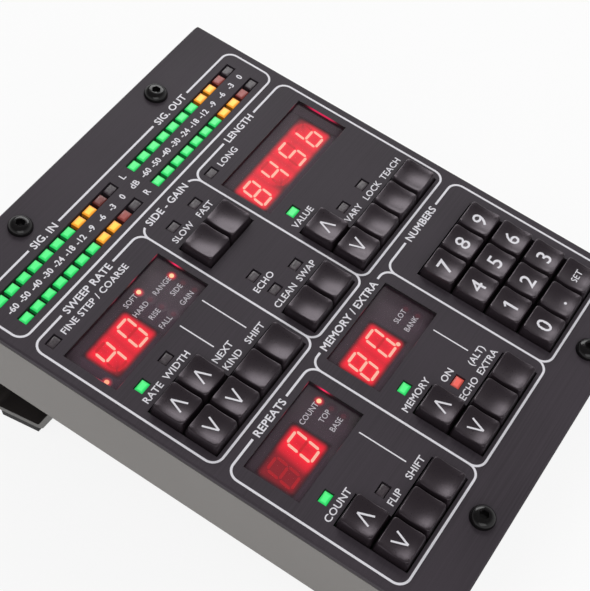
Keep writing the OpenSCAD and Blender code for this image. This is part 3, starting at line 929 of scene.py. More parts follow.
@dataclass
class KeyBank(Assembly):
    """The square dished key caps with their white marks."""

    top: float = 9.9
    base: float = 10.9
    rise: float = 3.2
    shoulder: float = 0.2
    skirt: float = -2.6
    top_cells: int = 6
    dish: float = 0.9
    dish_reach: float = 6.1
    corner: float = 0.9
    corner_steps: int = 4
    lip: float = 0.3
    lip_steps: int = 3
    stroke: float = 0.55
    chevron: tuple[float, float] = (3.5, 4.5)
    figure: float = 4.9
    small_word: float = 2.1
    mark_bold: float = 0.01
    point_rise: float = 0.4
    mark_lift: float = 0.03
    mark_depth: float = 0.12
    stroke_step: float = 0.01
    flag: float = 0.34
    flag_turn: float = 0.9
    flag_drop: float = 0.35
    flag_width: float = 0.8

    def hollow(self, x: float, y: float) -> float:
        """Gives how far the dish lies under the rim at a point.

        Args:
            x: Distance from the key's middle across the panel.
            y: Distance from the key's middle along the panel.

        Returns:
            The depth, nought at the corners.
        """
        return self.dish * max(0.0, 1 - (x * x + y * y) / self.dish_reach**2)

    def make_cap(self) -> Piece:
        """Models one cap: a grid for the top, drawn down to the skirt, with rounded corners and a dish.

        Returns:
            The cap at the panel's origin.
        """
        Bench.clear()
        bpy.ops.mesh.primitive_grid_add(
            x_subdivisions=self.top_cells,
            y_subdivisions=self.top_cells,
            size=self.top,
            location=(0, 0, self.rise),
        )
        cap = Bench.added("cap")
        Bench.pick_edges(cap, lambda e: e.is_boundary)
        Bench.push_edges(self.shoulder - self.rise)
        grow = self.base / self.top
        bpy.ops.transform.resize(value=(grow, grow, 1), center_override=(0, 0, 0))
        Bench.push_edges(self.skirt - self.shoulder)
        bpy.ops.mesh.edge_face_add()
        half = self.top / 2 - SLACK

        def upright(edge: bmesh.types.BMEdge) -> bool:
            """Says whether an edge runs down a corner."""
            corner = all(min(abs(v.co.x), abs(v.co.y)) > half for v in edge.verts)
            return corner and abs(edge.verts[0].co.z - edge.verts[1].co.z) > SLACK

        Bench.pick_edges(cap, upright)
        bpy.ops.mesh.bevel(offset=self.corner, segments=self.corner_steps, affect="EDGES")

        def rim(edge: bmesh.types.BMEdge) -> bool:
            """Says whether an edge runs round the top."""
            level = all(abs(v.co.z - self.rise) < LEVEL for v in edge.verts)
            return level and not all(faces_out(f) for f in edge.link_faces)

        Bench.pick_edges(cap, rim)
        bpy.ops.mesh.bevel(offset=self.lip, segments=self.lip_steps, affect="EDGES")
        Bench.clear()
        for vert in cap.data.vertices:
            if vert.co.z > self.rise / 2:
                vert.co.z -= self.hollow(vert.co.x, vert.co.y)
        Bench.wear(cap, Look.KEY.material, Look.INK.material)
        Bench.smooth(cap, SOFT_BODY)
        return cap

    def mark_of(self, key: str) -> tuple[Mark, str]:
        """Reads from a key's name what its top carries.

        Args:
            key: Name of the key's node.

        Returns:
            The kind of mark, and its letters where it is a word.
        """
        parts = key.split("_")
        if parts[0] == "keypad":
            return Mark.WORD, {"point": ".", "enter": "SET"}.get(parts[1], parts[1])
        for mark in (Mark.UP, Mark.DOWN):
            if mark.value in parts:
                return mark, ""
        return Mark.NONE, ""

    def make_mark(self, mark: Mark, letters: str) -> Piece | None:
        """Models a key's mark, laid on the dish.

        Args:
            mark: Kind of mark.
            letters: Letters of a word.

        Returns:
            The mark, or None for a blank key.
        """
        if mark is Mark.NONE:
            return None
        if mark is Mark.WORD:
            cap = self.figure if len(letters) == 1 else self.small_word
            rise = self.point_rise if letters == "." else 0
            piece = Lettering.word(letters, (0, rise, 0), cap, bold=self.mark_bold)
            if letters == "1":
                piece = self.add_flag(piece, cap)
        else:
            piece = self.make_chevron(1 if mark is Mark.UP else -1)
        for vert in piece.data.vertices:
            vert.co.z += self.rise - self.hollow(vert.co.x, vert.co.y) + self.mark_lift
        Bench.thicken(piece, -self.mark_depth)
        Bench.wear(piece, Look.INK.material)
        return piece

    def add_flag(self, figure: Piece, cap: float) -> Piece:
        """Gives the upright stroke of a one its slanting flag.

        Args:
            figure: The stroke.
            cap: Height of the figure.

        Returns:
            The stroke and its flag as one piece.
        """
        across = [v.co.x for v in figure.data.vertices]
        wide = max(across) - min(across)
        corner = Vector((max(across) - wide / 2, cap / 2 - wide * self.flag_drop, self.stroke_step))
        length = self.flag * cap
        middle = corner - Vector((math.sin(self.flag_turn), math.cos(self.flag_turn), 0)) * (length / 2)
        flag = Bench.strip("flag", (wide * self.flag_width, length), middle.to_tuple(), -self.flag_turn)
        return Bench.join("one", [figure, flag])

    def make_chevron(self, sense: int) -> Piece:
        """Models a pointed mark of two strokes.

        Args:
            sense: One for a mark that points to the rear, minus one for the front.

        Returns:
            The mark, flat at the origin.
        """
        wide, tall = self.chevron
        lean = math.atan2(wide / 2, tall)
        length = math.hypot(wide / 2, tall)
        bars = [
            Bench.strip("stroke", (self.stroke, length), (side * wide / 4, 0, level), side * sense * lean)
            for side, level in ((-1, 0.0), (1, self.stroke_step))
        ]
        return Bench.join("chevron", bars)

    def build(self) -> list[Piece]:
        """Copies the cap to every key, marks it and lets it move with the key.

        Returns:
            The finished keys.
        """
        master = self.make_cap()
        keys = []
        for name in sorted(n for n in frame["nodes"] if n.endswith("_key")):
            cap = Bench.copy(master, f"{name}_cap")
            mark = self.make_mark(*self.mark_of(name))
            if mark:
                cap = Bench.join(f"{name}_cap", [cap, mark])
            middle = self.plane.box(name).centre
            self.plane.settle(cap, (middle.x, middle.y, 0))
            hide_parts(name)
            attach(cap, name.removesuffix("_key"))
            keys.append(cap)
        Bench.drop(master)
        LOG.info("%d key caps", len(keys))
        return keys


# ---------------------------------------------------------------- panel screws


@dataclass
class PanelScrews(Assembly):
    """Black button-head screws with a hexagon socket."""

    head: float = 3.8
    height: float = 2.2
    dome: float = 2.0
    dome_steps: int = 6
    socket: float = 2.6
    socket_depth: float = 1.3
    shank: float = 2.0
    sides: int = 48

    def make_screw(self, reach: float) -> Piece:
        """Models one screw: a domed head, its socket and its shank.

        Args:
            reach: Depth of the shank's end under the panel's face.

        Returns:
            The screw at the panel's origin.
        """
        screw = Bench.cylinder("screw", self.head, (0, self.height), self.sides)
        Bench.round_top(screw, self.height, self.dome, self.dome_steps)
        Bench.pick_faces(screw, lambda f: f.normal.z < -STRAIGHT)
        bpy.ops.mesh.inset(thickness=self.head - self.shank)
        Bench.push(-reach)
        ends = (self.height - self.socket_depth, self.height + self.socket_depth)
        cutter = Bench.cylinder("socket", self.socket / math.sqrt(3), ends, 6)
        Bench.choose(screw)
        cut = screw.modifiers.new("socket", "BOOLEAN")
        cut.operation = "DIFFERENCE"
        cut.object = cutter
        bpy.ops.object.modifier_apply(modifier=cut.name)
        Bench.drop(cutter)
        Bench.wear(screw, Look.BLACK_STEEL.material)
        Bench.smooth(screw, SOFT_BODY)
        return screw

    def build(self) -> Piece:
        """Copies the screw to each of its places.

        Returns:
            The screws as one piece.
        """
        places = self.plane.solids("panel_screws")
        master = self.make_screw(-places[0].low.z)
        screws = []
        for number, place in enumerate(places):
            screw = Bench.copy(master, f"panel_screw_{number}")
            screw.data.transform(Matrix.Translation((place.centre.x, place.centre.y, 0)))
            screws.append(screw)
        Bench.drop(master)
        joined = self.assemble("panel_screw_heads", screws)
        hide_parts("panel_screws")
        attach(joined, UNIT)
        LOG.info("%d panel screws", len(places))
        return joined


# ---------------------------------------------------------------- lamps


@dataclass
class LampLenses(Assembly):
    """Rectangular lamp lenses of the meters and the key sections."""

    rounding: float = 0.25
    rounding_steps: int = 2
    shade: float = 0.45
    border: float = 0.5
    slim: float = 0.35
    meter_front: float = 138.0
    meter_middle: float = 147.5
    edge_glow: float = 0.62
    side_glow: float = 0.1
    quiet_red: float = 0.42
    faint_red: float = 0.2

    def in_meter(self, lamp: Solid) -> bool:
        """Says whether a lamp belongs to a level meter."""
        return lamp.centre.y > self.meter_front

    def brightness(self, node: str, lamp: Solid) -> float:
        """Gives how brightly a lamp is lit.

        Args:
            node: Name of the CAD node that the lamp belongs to.
            lamp: The lamp's box.

        Returns:
            Nought for unlit, one for fully lit.
        """
        if node == "dark_lamps":
            return 0.0
        if node == "red_lamps" and self.in_meter(lamp):
            faint = lamp.centre.y > self.meter_middle and lamp.centre.x < 0
            return self.faint_red if faint else self.quiet_red
        return 1.0

    def make_lens(self, lamp: Solid, share: float) -> Piece:
        """Models one lens with rounded edges and a face that is brightest in the middle.

        Args:
            lamp: The lamp's box.
            share: How brightly it is lit.

        Returns:
            The lens in its place on the plane.
        """
        size = lamp.size - Vector((0, self.slim if self.in_meter(lamp) else 0, 0))
        lens = Bench.block("lens", size, lamp.centre)
        top = lamp.high.z
        Bench.round_top(lens, top, self.rounding, self.rounding_steps)
        Bench.score(lens, (0, 0, top - self.shade), (0, 0, 1))
        Bench.pick_faces(lens, faces_out)
        bpy.ops.mesh.inset(thickness=self.border)
        Bench.clear()
        edge = self.rounding + self.border
        half = size / 2 - Vector((edge, edge, 0))

        def lit(point: Vector) -> float:
            """Gives the glow at a point of the lens."""
            if point.z < top - self.shade + SLACK:
                return share * self.side_glow
            away = point - lamp.centre
            inner = abs(away.x) < half.x + SLACK and abs(away.y) < half.y + SLACK
            return share * (1.0 if inner and point.z > top - SLACK else self.edge_glow)

        Bench.mark_glow(lens, lit)
        return lens

    def build(self) -> list[Piece]:
        """Makes the lenses of every lamp node.

        Returns:
            One piece for each colour.
        """
        looks = {
            "green_lamps": (Look.GREEN, "lamp_green"),
            "amber_lamps": (Look.AMBER, "lamp_amber"),
            "red_lamps": (Look.RED, "lamp_red"),
            "dark_lamps": (Look.DARK, "lamp_dark"),
        }
        made = []
        for node, (look, slot) in looks.items():
            lamps = self.plane.solids(node)
            lenses = [self.make_lens(lamp, self.brightness(node, lamp)) for lamp in lamps]
            piece = self.assemble(f"{node}_lenses", lenses, look, SOFT_LENS)
            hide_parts(node)
            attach(piece, UNIT)
            LOG.info("%s: %d lenses", node, len(lamps))
            made.append(piece)
        return made


# ---------------------------------------------------------------- number displays


class Bar(Enum):
    """The bars of a figure: middle as shares of its half width and half height, and whether upright."""

    TOP = (0, 1, False)
    UPPER_RIGHT = (1, 0.5, True)
    LOWER_RIGHT = (1, -0.5, True)
    BOTTOM = (0, -1, False)
    LOWER_LEFT = (-1, -0.5, True)
    UPPER_LEFT = (-1, 0.5, True)
    MIDDLE = (0, 0, False)


FIGURES: dict[str, tuple[Bar, ...]] = {
    "0": (Bar.TOP, Bar.UPPER_RIGHT, Bar.LOWER_RIGHT, Bar.BOTTOM, Bar.LOWER_LEFT, Bar.UPPER_LEFT),
    "4": (Bar.UPPER_LEFT, Bar.UPPER_RIGHT, Bar.MIDDLE, Bar.LOWER_RIGHT),
    "5": (Bar.TOP, Bar.UPPER_LEFT, Bar.MIDDLE, Bar.LOWER_RIGHT, Bar.BOTTOM),
    "6": (Bar.UPPER_LEFT, Bar.MIDDLE, Bar.LOWER_RIGHT, Bar.BOTTOM, Bar.LOWER_LEFT),
    "8": tuple(Bar),
    " ": (),
}


@dataclass
class NumberDisplay(Assembly):
    """A block of slanted red figures behind a window."""

    node: str
    text: str
    pitch: float = 10.1
    figure_rise: float = -0.2
    tall: float = 8.6
    wide: float = 4.9
    stroke: float = 0.85
    bar_gap: float = 0.65
    bar_cut: float = 0.42
    bar_depth: float = 0.06
    bar_lift: float = 0.01
    slant: float = 0.14
    set_back: float = 0.35
    cell: float = 0.5
    halo_edge: float = 2.0
    dim: float = 0.22
    pool: float = 0.6
    pool_reach: float = 3.5
    glare: float = 0.24
    glare_reach: float = 1.0
    faint: float = 0.32
    unlit_figure: float = 0.22
    point: float = 0.7
    point_gap: float = 1.0
    point_edge: float = 0.02
    point_sides: int = 16

    @property
    def symbols(self) -> str:
        """The figures without their points."""
        return self.text.replace(".", "")

    def cells(self, box: Solid) -> list[float]:
        """Gives the middle of each figure across the panel."""
        count = len(self.symbols)
        return [box.centre.x + (i - (count - 1) / 2) * self.pitch for i in range(count)]

    def lit_strokes(self, box: Solid) -> list[tuple[Vector, Vector]]:
        """Lists the two ends of every lit bar.

        Args:
            box: The CAD display's box.

        Returns:
            The ends on the plane.
        """
        strokes = []
        for x, symbol in zip(self.cells(box), self.symbols):
            for bar in FIGURES[symbol]:
                across, up, upright = bar.value
                middle = Vector((across * self.wide / 2, up * self.tall / 2))
                half = Vector((0, self.tall / 4) if upright else (self.wide / 2, 0))
                ends = [middle - half, middle + half]
                for end in ends:
                    end.x += self.slant * end.y + x
                    end.y += box.centre.y + self.figure_rise
                strokes.append((ends[0], ends[1]))
        return strokes

    @staticmethod
    def gap_to(stroke: tuple[Vector, Vector], point: Vector) -> float:
        """Gives the distance from a point to a stroke.

        Args:
            stroke: The stroke's two ends.
            point: The point.

        Returns:
            The distance on the plane.
        """
        run = stroke[1] - stroke[0]
        share = min(1.0, max(0.0, (point - stroke[0]).dot(run) / run.length_squared))
        return (point - stroke[0] - share * run).length

    def make_face(self, box: Solid, top: float) -> Piece:
        """Models the display's block, with a face that glows round the lit figures.

        Args:
            box: The CAD display's box.
            top: Level of the face.

        Returns:
            The block in its place on the plane.
        """
        Bench.clear()
        across, along = (round(side / self.cell) for side in box.size.xy)
        bpy.ops.mesh.primitive_grid_add(
            x_subdivisions=across, y_subdivisions=along, size=1, location=(box.centre.x, box.centre.y, top)
        )
        bpy.context.object.scale = (*box.size.xy, 1)
        face = Bench.added("face")
        Bench.pick_edges(face, lambda e: e.is_boundary)
        Bench.push_edges(box.low.z - top)
        bpy.ops.mesh.edge_face_add()
        Bench.clear()
        strokes = self.lit_strokes(box)
        tall = box.size.y / 2 - self.halo_edge

        def halo(point: Vector) -> float:
            """Gives the glow at a point of the face."""
            if point.z < top - SLACK:
                return 0.0
            ends = min(point.x - box.low.x, box.high.x - point.x)
            away = math.hypot(max(0.0, self.halo_edge - ends), max(0.0, abs(point.y - box.centre.y) - tall))
            share = max(0.0, 1 - away / self.halo_edge)
            near = min(self.gap_to(stroke, point.xy) for stroke in strokes)
            pool = self.pool * math.exp(-((near / self.pool_reach) ** 4))
            glare = self.glare * math.exp(-((near / self.glare_reach) ** 2))
            return (self.dim + pool + glare) * share * share * (3 - 2 * share)

        Bench.mark_glow(face, halo)
        Bench.wear(face, Look.FACE.material)
        return face

    def make_bar(self, bar: Bar, middle: Vector, glow: float) -> Piece:
        """Models one bar of a figure: a strip with pointed ends, given a little depth.

        Args:
            bar: Which bar.
            middle: Middle of the figure.
            glow: How brightly it is lit.

        Returns:
            The bar in its place on the plane.
        """
        across, up, upright = bar.value
        length = (self.tall / 2 if upright else self.wide) - self.bar_gap
        size = (self.stroke, length) if upright else (length, self.stroke)
        piece = Bench.strip("bar", size, (across * self.wide / 2, up * self.tall / 2, 0))
        Bench.pick_all(piece, "VERT")
        bpy.ops.mesh.bevel(offset=self.stroke * self.bar_cut, segments=1, affect="VERTICES")
        Bench.thicken(piece, self.bar_depth)
        for vert in piece.data.vertices:
            vert.co.x += self.slant * vert.co.y
        piece.data.transform(Matrix.Translation(middle))
        Bench.mark_glow(piece, lambda _: glow)
        Bench.wear(piece, Look.FIGURE.material)
        return piece

    def make_point(self, middle: Vector, glow: float) -> Piece:
        """Models the round point at a figure's foot.

        Args:
            middle: Middle of the figure.
            glow: How brightly it is lit.

        Returns:
            The point in its place on the plane.
        """
        foot = -self.tall / 2
        place = (middle.x + self.wide / 2 + self.point_gap + self.slant * foot, middle.y + foot)
        top = middle.z + self.bar_depth
        piece = Bench.cylinder("point", self.point, (middle.z, top), self.point_sides, place)
        Bench.round_top(piece, top, self.point_edge, 1)
        Bench.mark_glow(piece, lambda _: glow)
        Bench.wear(piece, Look.FIGURE.material)
        return piece

    def build(self) -> Piece:
        """Makes the display with its figures.

        Returns:
            The display as one piece.
        """
        box = self.plane.box(self.node)
        top = box.high.z - self.set_back
        parts = [self.make_face(box, top)]
        level = box.centre.y + self.figure_rise
        middles = [Vector((x, level, top + self.bar_lift)) for x in self.cells(box)]
        for middle, symbol in zip(middles, self.symbols):
            rest = self.unlit_figure if symbol == " " else self.faint
            for bar in Bar:
                parts.append(self.make_bar(bar, middle, 1.0 if bar in FIGURES[symbol] else rest))
        if self.text.endswith("."):
            parts.append(self.make_point(middles[-1], 1.0))
        display = self.assemble(f"{self.node}_figures", parts)
        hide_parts(self.node)
        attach(display, UNIT)
        LOG.info("%s shows %d figures", self.node, len(self.symbols))
        return display


@dataclass
class DisplayWindows(Assembly):
    """The four smoked panes, the round lamps behind them, and thin sheets on the walls of their openings
    with a painted reflection of the red light.
    """

    rise: float = 1.2
    lip: float = 1.65
    dot: float = 0.75
    dot_sides: int = 20
    dome: float = 0.4
    crown: float = 0.8
    crown_steps: int = 3
    rings: int = 3
    unlit: float = 0.02
    # Painted glow of the lamp's light on its collar, as a share of the crown's.
    collar_glow: float = 0.42
    corner_lamp: float = -58.0
    play: float = 0.15
    # A thin sheet on the opening walls, with the red light of the lamps and figures painted on it:
    spill_ring_share: float = 0.6
    spill_lift: float = 0.02
    spill_top: float = -0.06
    spill_step: float = 0.8
    spill_span: float = 7.0
    spill_reach: float = 1.5
    cross_wall: float = 0.25
    dot_power: float = 1.0
    face_power: float = 0.45
    face_inset: float = 1.5
    face_steps: tuple[float, ...] = (-3.6, -1.8, 0.0, 1.8, 3.6)
    front_film: float = 0.9
    fade: float = 0.5
    collar: float = 1.9
    corner_share: float = 0.8
    corner_shift: float = 0.45
    rounding: float = 0.25
    rounding_steps: int = 2
    set_back: float = 0.3
    lit_reach: float = 1.2
    lit_places: tuple[tuple[float, float], ...] = (
        (-59.25, 113.8),
        (-28.75, 124.65),
        (-18.05, 120.55),
        (-27.5, 63.0),
    )

    def display_under(self, pane: Solid) -> Solid:
        """Finds the number display behind a pane.

        Args:
            pane: The pane's box.

        Returns:
            The display's box.
        """
        boxes = [self.plane.box(node) for node in SHOWN]
        return min(boxes, key=lambda box: (box.centre.xy - pane.centre.xy).length)

    def lay_film(self, pane: Piece, box: Solid) -> None:
        """Marks a pane's front evenly, and the part of its back that lies in front of a display.

        Args:
            pane: The pane.
            box: The display's box.
        """
        for step in (-self.fade, self.fade):
            for x in (box.low.x, box.high.x):
                Bench.score(pane, (x + step, 0, 0), (1, 0, 0))
            for y in (box.low.y, box.high.y):
                Bench.score(pane, (0, y + step, 0), (0, 1, 0))
        back = min(v.co.z for v in pane.data.vertices)

        def film(point: Vector) -> float:
            """Gives how much of the film covers a point of the pane."""
            if point.z > back + SLACK:
                return self.front_film
            inside = min(*(point.xy - box.low.xy), *(box.high.xy - point.xy))
            return min(1.0, max(0.0, (inside + self.fade) / (2 * self.fade)))

        Bench.mark_glow(pane, film)

    def build_panes(self) -> Piece:
        """Makes the panes.

        Returns:
            The panes as one piece.
        """
        panes = []
        for solid in self.plane.solids("display_windows"):
            pane = Bench.block(
                "pane",
                (solid.size.x, solid.size.y, solid.size.z - self.rise),
                solid.centre - Vector((0, 0, self.rise / 2)),
            )
            Bench.pick_faces(pane, faces_out)
            bpy.ops.mesh.inset(thickness=self.lip)
            Bench.push(self.rise)
            Bench.round_top(pane, solid.high.z, self.rounding, self.rounding_steps)
            self.lay_film(pane, self.display_under(solid))
            panes.append(pane)
        joined = self.assemble("display_window_panes", panes, Look.PANE, SOFT_LENS)
        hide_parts("display_windows")
        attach(joined, UNIT)
        LOG.info("%d window panes", len(panes))
        return joined

    def make_dot(self, spot: Vector, foot: float, share: float) -> Piece:
        """Models one round lamp: a post with a domed crown and a flat collar with a painted glow of its
        light.

        Args:
            spot: Top of the crown.
            foot: Level of the post's foot.
            share: How brightly it is lit.

        Returns:
            The lamp in its place on the plane.
        """
        shoulder = spot.z - self.dome
        dot = Bench.cylinder("dot", self.collar, (foot, shoulder), self.dot_sides, spot.xy)
        Bench.pick_faces(dot, faces_out)
        for _ in range(self.rings):
            bpy.ops.mesh.inset(thickness=(self.collar - self.dot) / self.rings)
        Bench.push(self.dome)
        Bench.round_top(dot, spot.z, self.dome * self.crown, self.crown_steps)

        def lit(point: Vector) -> float:
            """Gives the glow at a point of the lamp, full on its crown, and the painted glow of its light
            fading over its collar.
            """
            if point.z > shoulder + SLACK:
                return share
            away = math.dist(point.xy, spot.xy) - self.dot
            fade = max(0.0, 1 - away / (self.collar - self.dot))
            return share * self.collar_glow * fade * fade if point.z > shoulder - SLACK else 0.0

        Bench.mark_glow(dot, lit)
        return dot

    def make_painted_spill(self, pane: Solid, sources: list[tuple[Vector, float]]) -> Piece:
        """Models a thin sheet on the walls of one window's opening, with the red light of nearby lamps and
        figures painted on it as a reflection.

        Args:
            pane: The pane's box.
            sources: Lit points on the plane, each with its strength.

        Returns:
            The sheet in its place on the plane.
        """
        size = pane.size.xy - Vector((1, 1)) * 2 * (self.lip - self.play)
        foot = pane.high.z + self.spill_lift
        spill_sheet = Bench.strip("spill_sheet", size.to_tuple(), (pane.centre.x, pane.centre.y, foot))
        Bench.open_ring(spill_sheet, self.play * self.spill_ring_share)
        Bench.thicken(spill_sheet, self.spill_top - pane.high.z)
        for axis in (0, 1):
            steps = round(size[axis] / self.spill_step)
            for step in range(1, steps):
                place = [0.0, 0.0, 0.0]
                place[axis] = pane.centre[axis] + (step / steps - 0.5) * size[axis]
                Bench.score(spill_sheet, tuple(place), (1 - axis, axis, 0))

        def lit(point: Vector) -> float:
            """Gives the painted light on a point of the sheet from the lamps and figures just across from
            it.
            """
            side_wall = abs(abs(point.x - pane.centre.x) - size.x / 2) < self.play
            total = 0.0
            for spot, power in sources:
                away = point.xy - spot
                across, along = (away.x, away.y) if side_wall else (away.y, away.x)
                if abs(across) < self.spill_span:
                    total += power * math.exp(-((along / self.spill_reach) ** 2))
            return min(1.0, total if side_wall else total * self.cross_wall)

        Bench.mark_glow(spill_sheet, lit)
        return spill_sheet

    def build_painted_spill(self) -> Piece:
        """Makes the sheets with painted red light in all four openings.

        Returns:
            The sheets as one piece.
        """
        sources = [(Vector(place), self.dot_power) for place in self.lit_places]
        for node in SHOWN:
            box = self.plane.box(node)
            for step in self.face_steps:
                spot = Vector((box.high.x - self.face_inset, box.centre.y + step))
                sources.append((spot, self.face_power))
        spill_sheets = [self.make_painted_spill(pane, sources) for pane in self.plane.solids("display_windows")]
        joined = self.assemble("window_painted_spill", spill_sheets, Look.LINER)
        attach(joined, UNIT)
        LOG.info("%d window liners", len(spill_sheets))
        return joined

    def build_dots(self) -> Piece:
        """Makes the round lamps behind the panes.

        Returns:
            The lamps as one piece.
        """
        dots = []
        for solid in self.plane.solids("window_lamps"):
            lit = any(math.dist(solid.centre.xy, place) < self.lit_reach for place in self.lit_places)
            in_corner = solid.centre.x < self.corner_lamp
            shift, share = (self.corner_shift, self.corner_share) if in_corner else (0.0, 1.0)
            spot = Vector((solid.centre.x + shift, solid.centre.y, solid.high.z - self.set_back))
            dots.append(self.make_dot(spot, solid.low.z, share if lit else self.unlit))
        joined = self.assemble("window_dots", dots, Look.DOT, SOFT_LENS)
        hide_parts("window_lamps")
        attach(joined, UNIT)
        LOG.info("%d window lamps", len(dots))
        return joined


# ---------------------------------------------------------------- printing


class Side(Enum):
    """Which end of a word stands at its place."""

    LEFT = "LEFT"
    MIDDLE = "CENTER"
    RIGHT = "RIGHT"


class Lettering:
    """Words in plain capitals, made into flat meshes."""

    cap_share: float = 0.715
    spacing: float = 1.04
    sharpest: float = 1.6
    curve_steps: int = 3
    weld: float = 1e-4
    digits: int = 4

    @classmethod
    def outward(cls, vert: bmesh.types.BMVert) -> Vector:
        """Gives the way in which a border point moves when the border moves outwards by one.

        Args:
            vert: A point on the border of a flat mesh.

        Returns:
            The move, kept short at sharp corners.
        """
        total = Vector()
        for edge in vert.link_edges:
            if edge.is_boundary:
                away = (edge.verts[1].co - edge.verts[0].co).cross(Vector((0, 0, 1))).normalized()
                inside = edge.link_faces[0].calc_center_median() - edge.verts[0].co
                total += -away if away.dot(inside) > 0 else away
        if total.length < cls.weld:
            return total
        return total.normalized() * min(2 / total.length, cls.sharpest)

    @classmethod
    def embolden(cls, piece: Piece, width: float) -> None:
        """Thickens the strokes of a flat word by drawing its border outwards.

        Args:
            piece: The word's mesh.
            width: How far the border moves.
        """
        Bench.pick_all(piece, "EDGE")
        bpy.ops.mesh.remove_doubles(threshold=cls.weld)
        mesh = bmesh.from_edit_mesh(piece.data)
        border = [v for v in mesh.verts if any(e.is_boundary for e in v.link_edges)]
        moves = {v.co.to_tuple(cls.digits): cls.outward(v) * width for v in border}
        Bench.pick_edges(piece, lambda e: e.is_boundary)
        Bench.push_edges(0)
        mesh = bmesh.from_edit_mesh(piece.data)
        for vert in mesh.verts:
            if vert.select:
                vert.co += moves[vert.co.to_tuple(cls.digits)]
        bmesh.update_edit_mesh(piece.data)
        Bench.clear()

    @classmethod
    def word(
        cls,
        text: str,
        place: Triple,
        cap: float,
        side: Side = Side.MIDDLE,
        bold: float = 0.022,
        stretch: float = 1.1,
    ) -> Piece:
        """Makes a word whose capitals are centred on a place.

        Args:
            text: The word.
            place: Where it stands on the plane.
            cap: Height of its capitals.
            side: Which end stands at the place.
            bold: How far the strokes' borders move outwards, as a share of the height.
            stretch: Share of the usual width.

        Returns:
            The flat word.
        """
        Bench.clear()
        bpy.ops.object.text_add(location=(0, 0, 0))
        piece = bpy.context.object
        piece.data.body = text
        piece.data.size = cap / cls.cap_share
        piece.data.align_x = side.value
        piece.data.space_character = cls.spacing
        piece.data.resolution_u = cls.curve_steps
        bpy.ops.object.convert(target="MESH")
        piece = bpy.context.object
        cls.embolden(piece, bold * cap)
        centred = Matrix.Translation((0, -cap / 2, 0))
        piece.data.transform(Matrix.Translation(place) @ Matrix.Diagonal((stretch, 1, 1, 1)) @ centred)
        return piece


@dataclass(frozen=True)
class Label:
    """One printed word and where it stands."""

    text: str
    x: float
    y: float
    side: Side = Side.MIDDLE


@dataclass(frozen=True)
class Section:
    """A printed border round one section, with gaps for its titles."""

    left: float
    right: float
    front: float
    rear: float
    titles: tuple[tuple[str, float], ...]


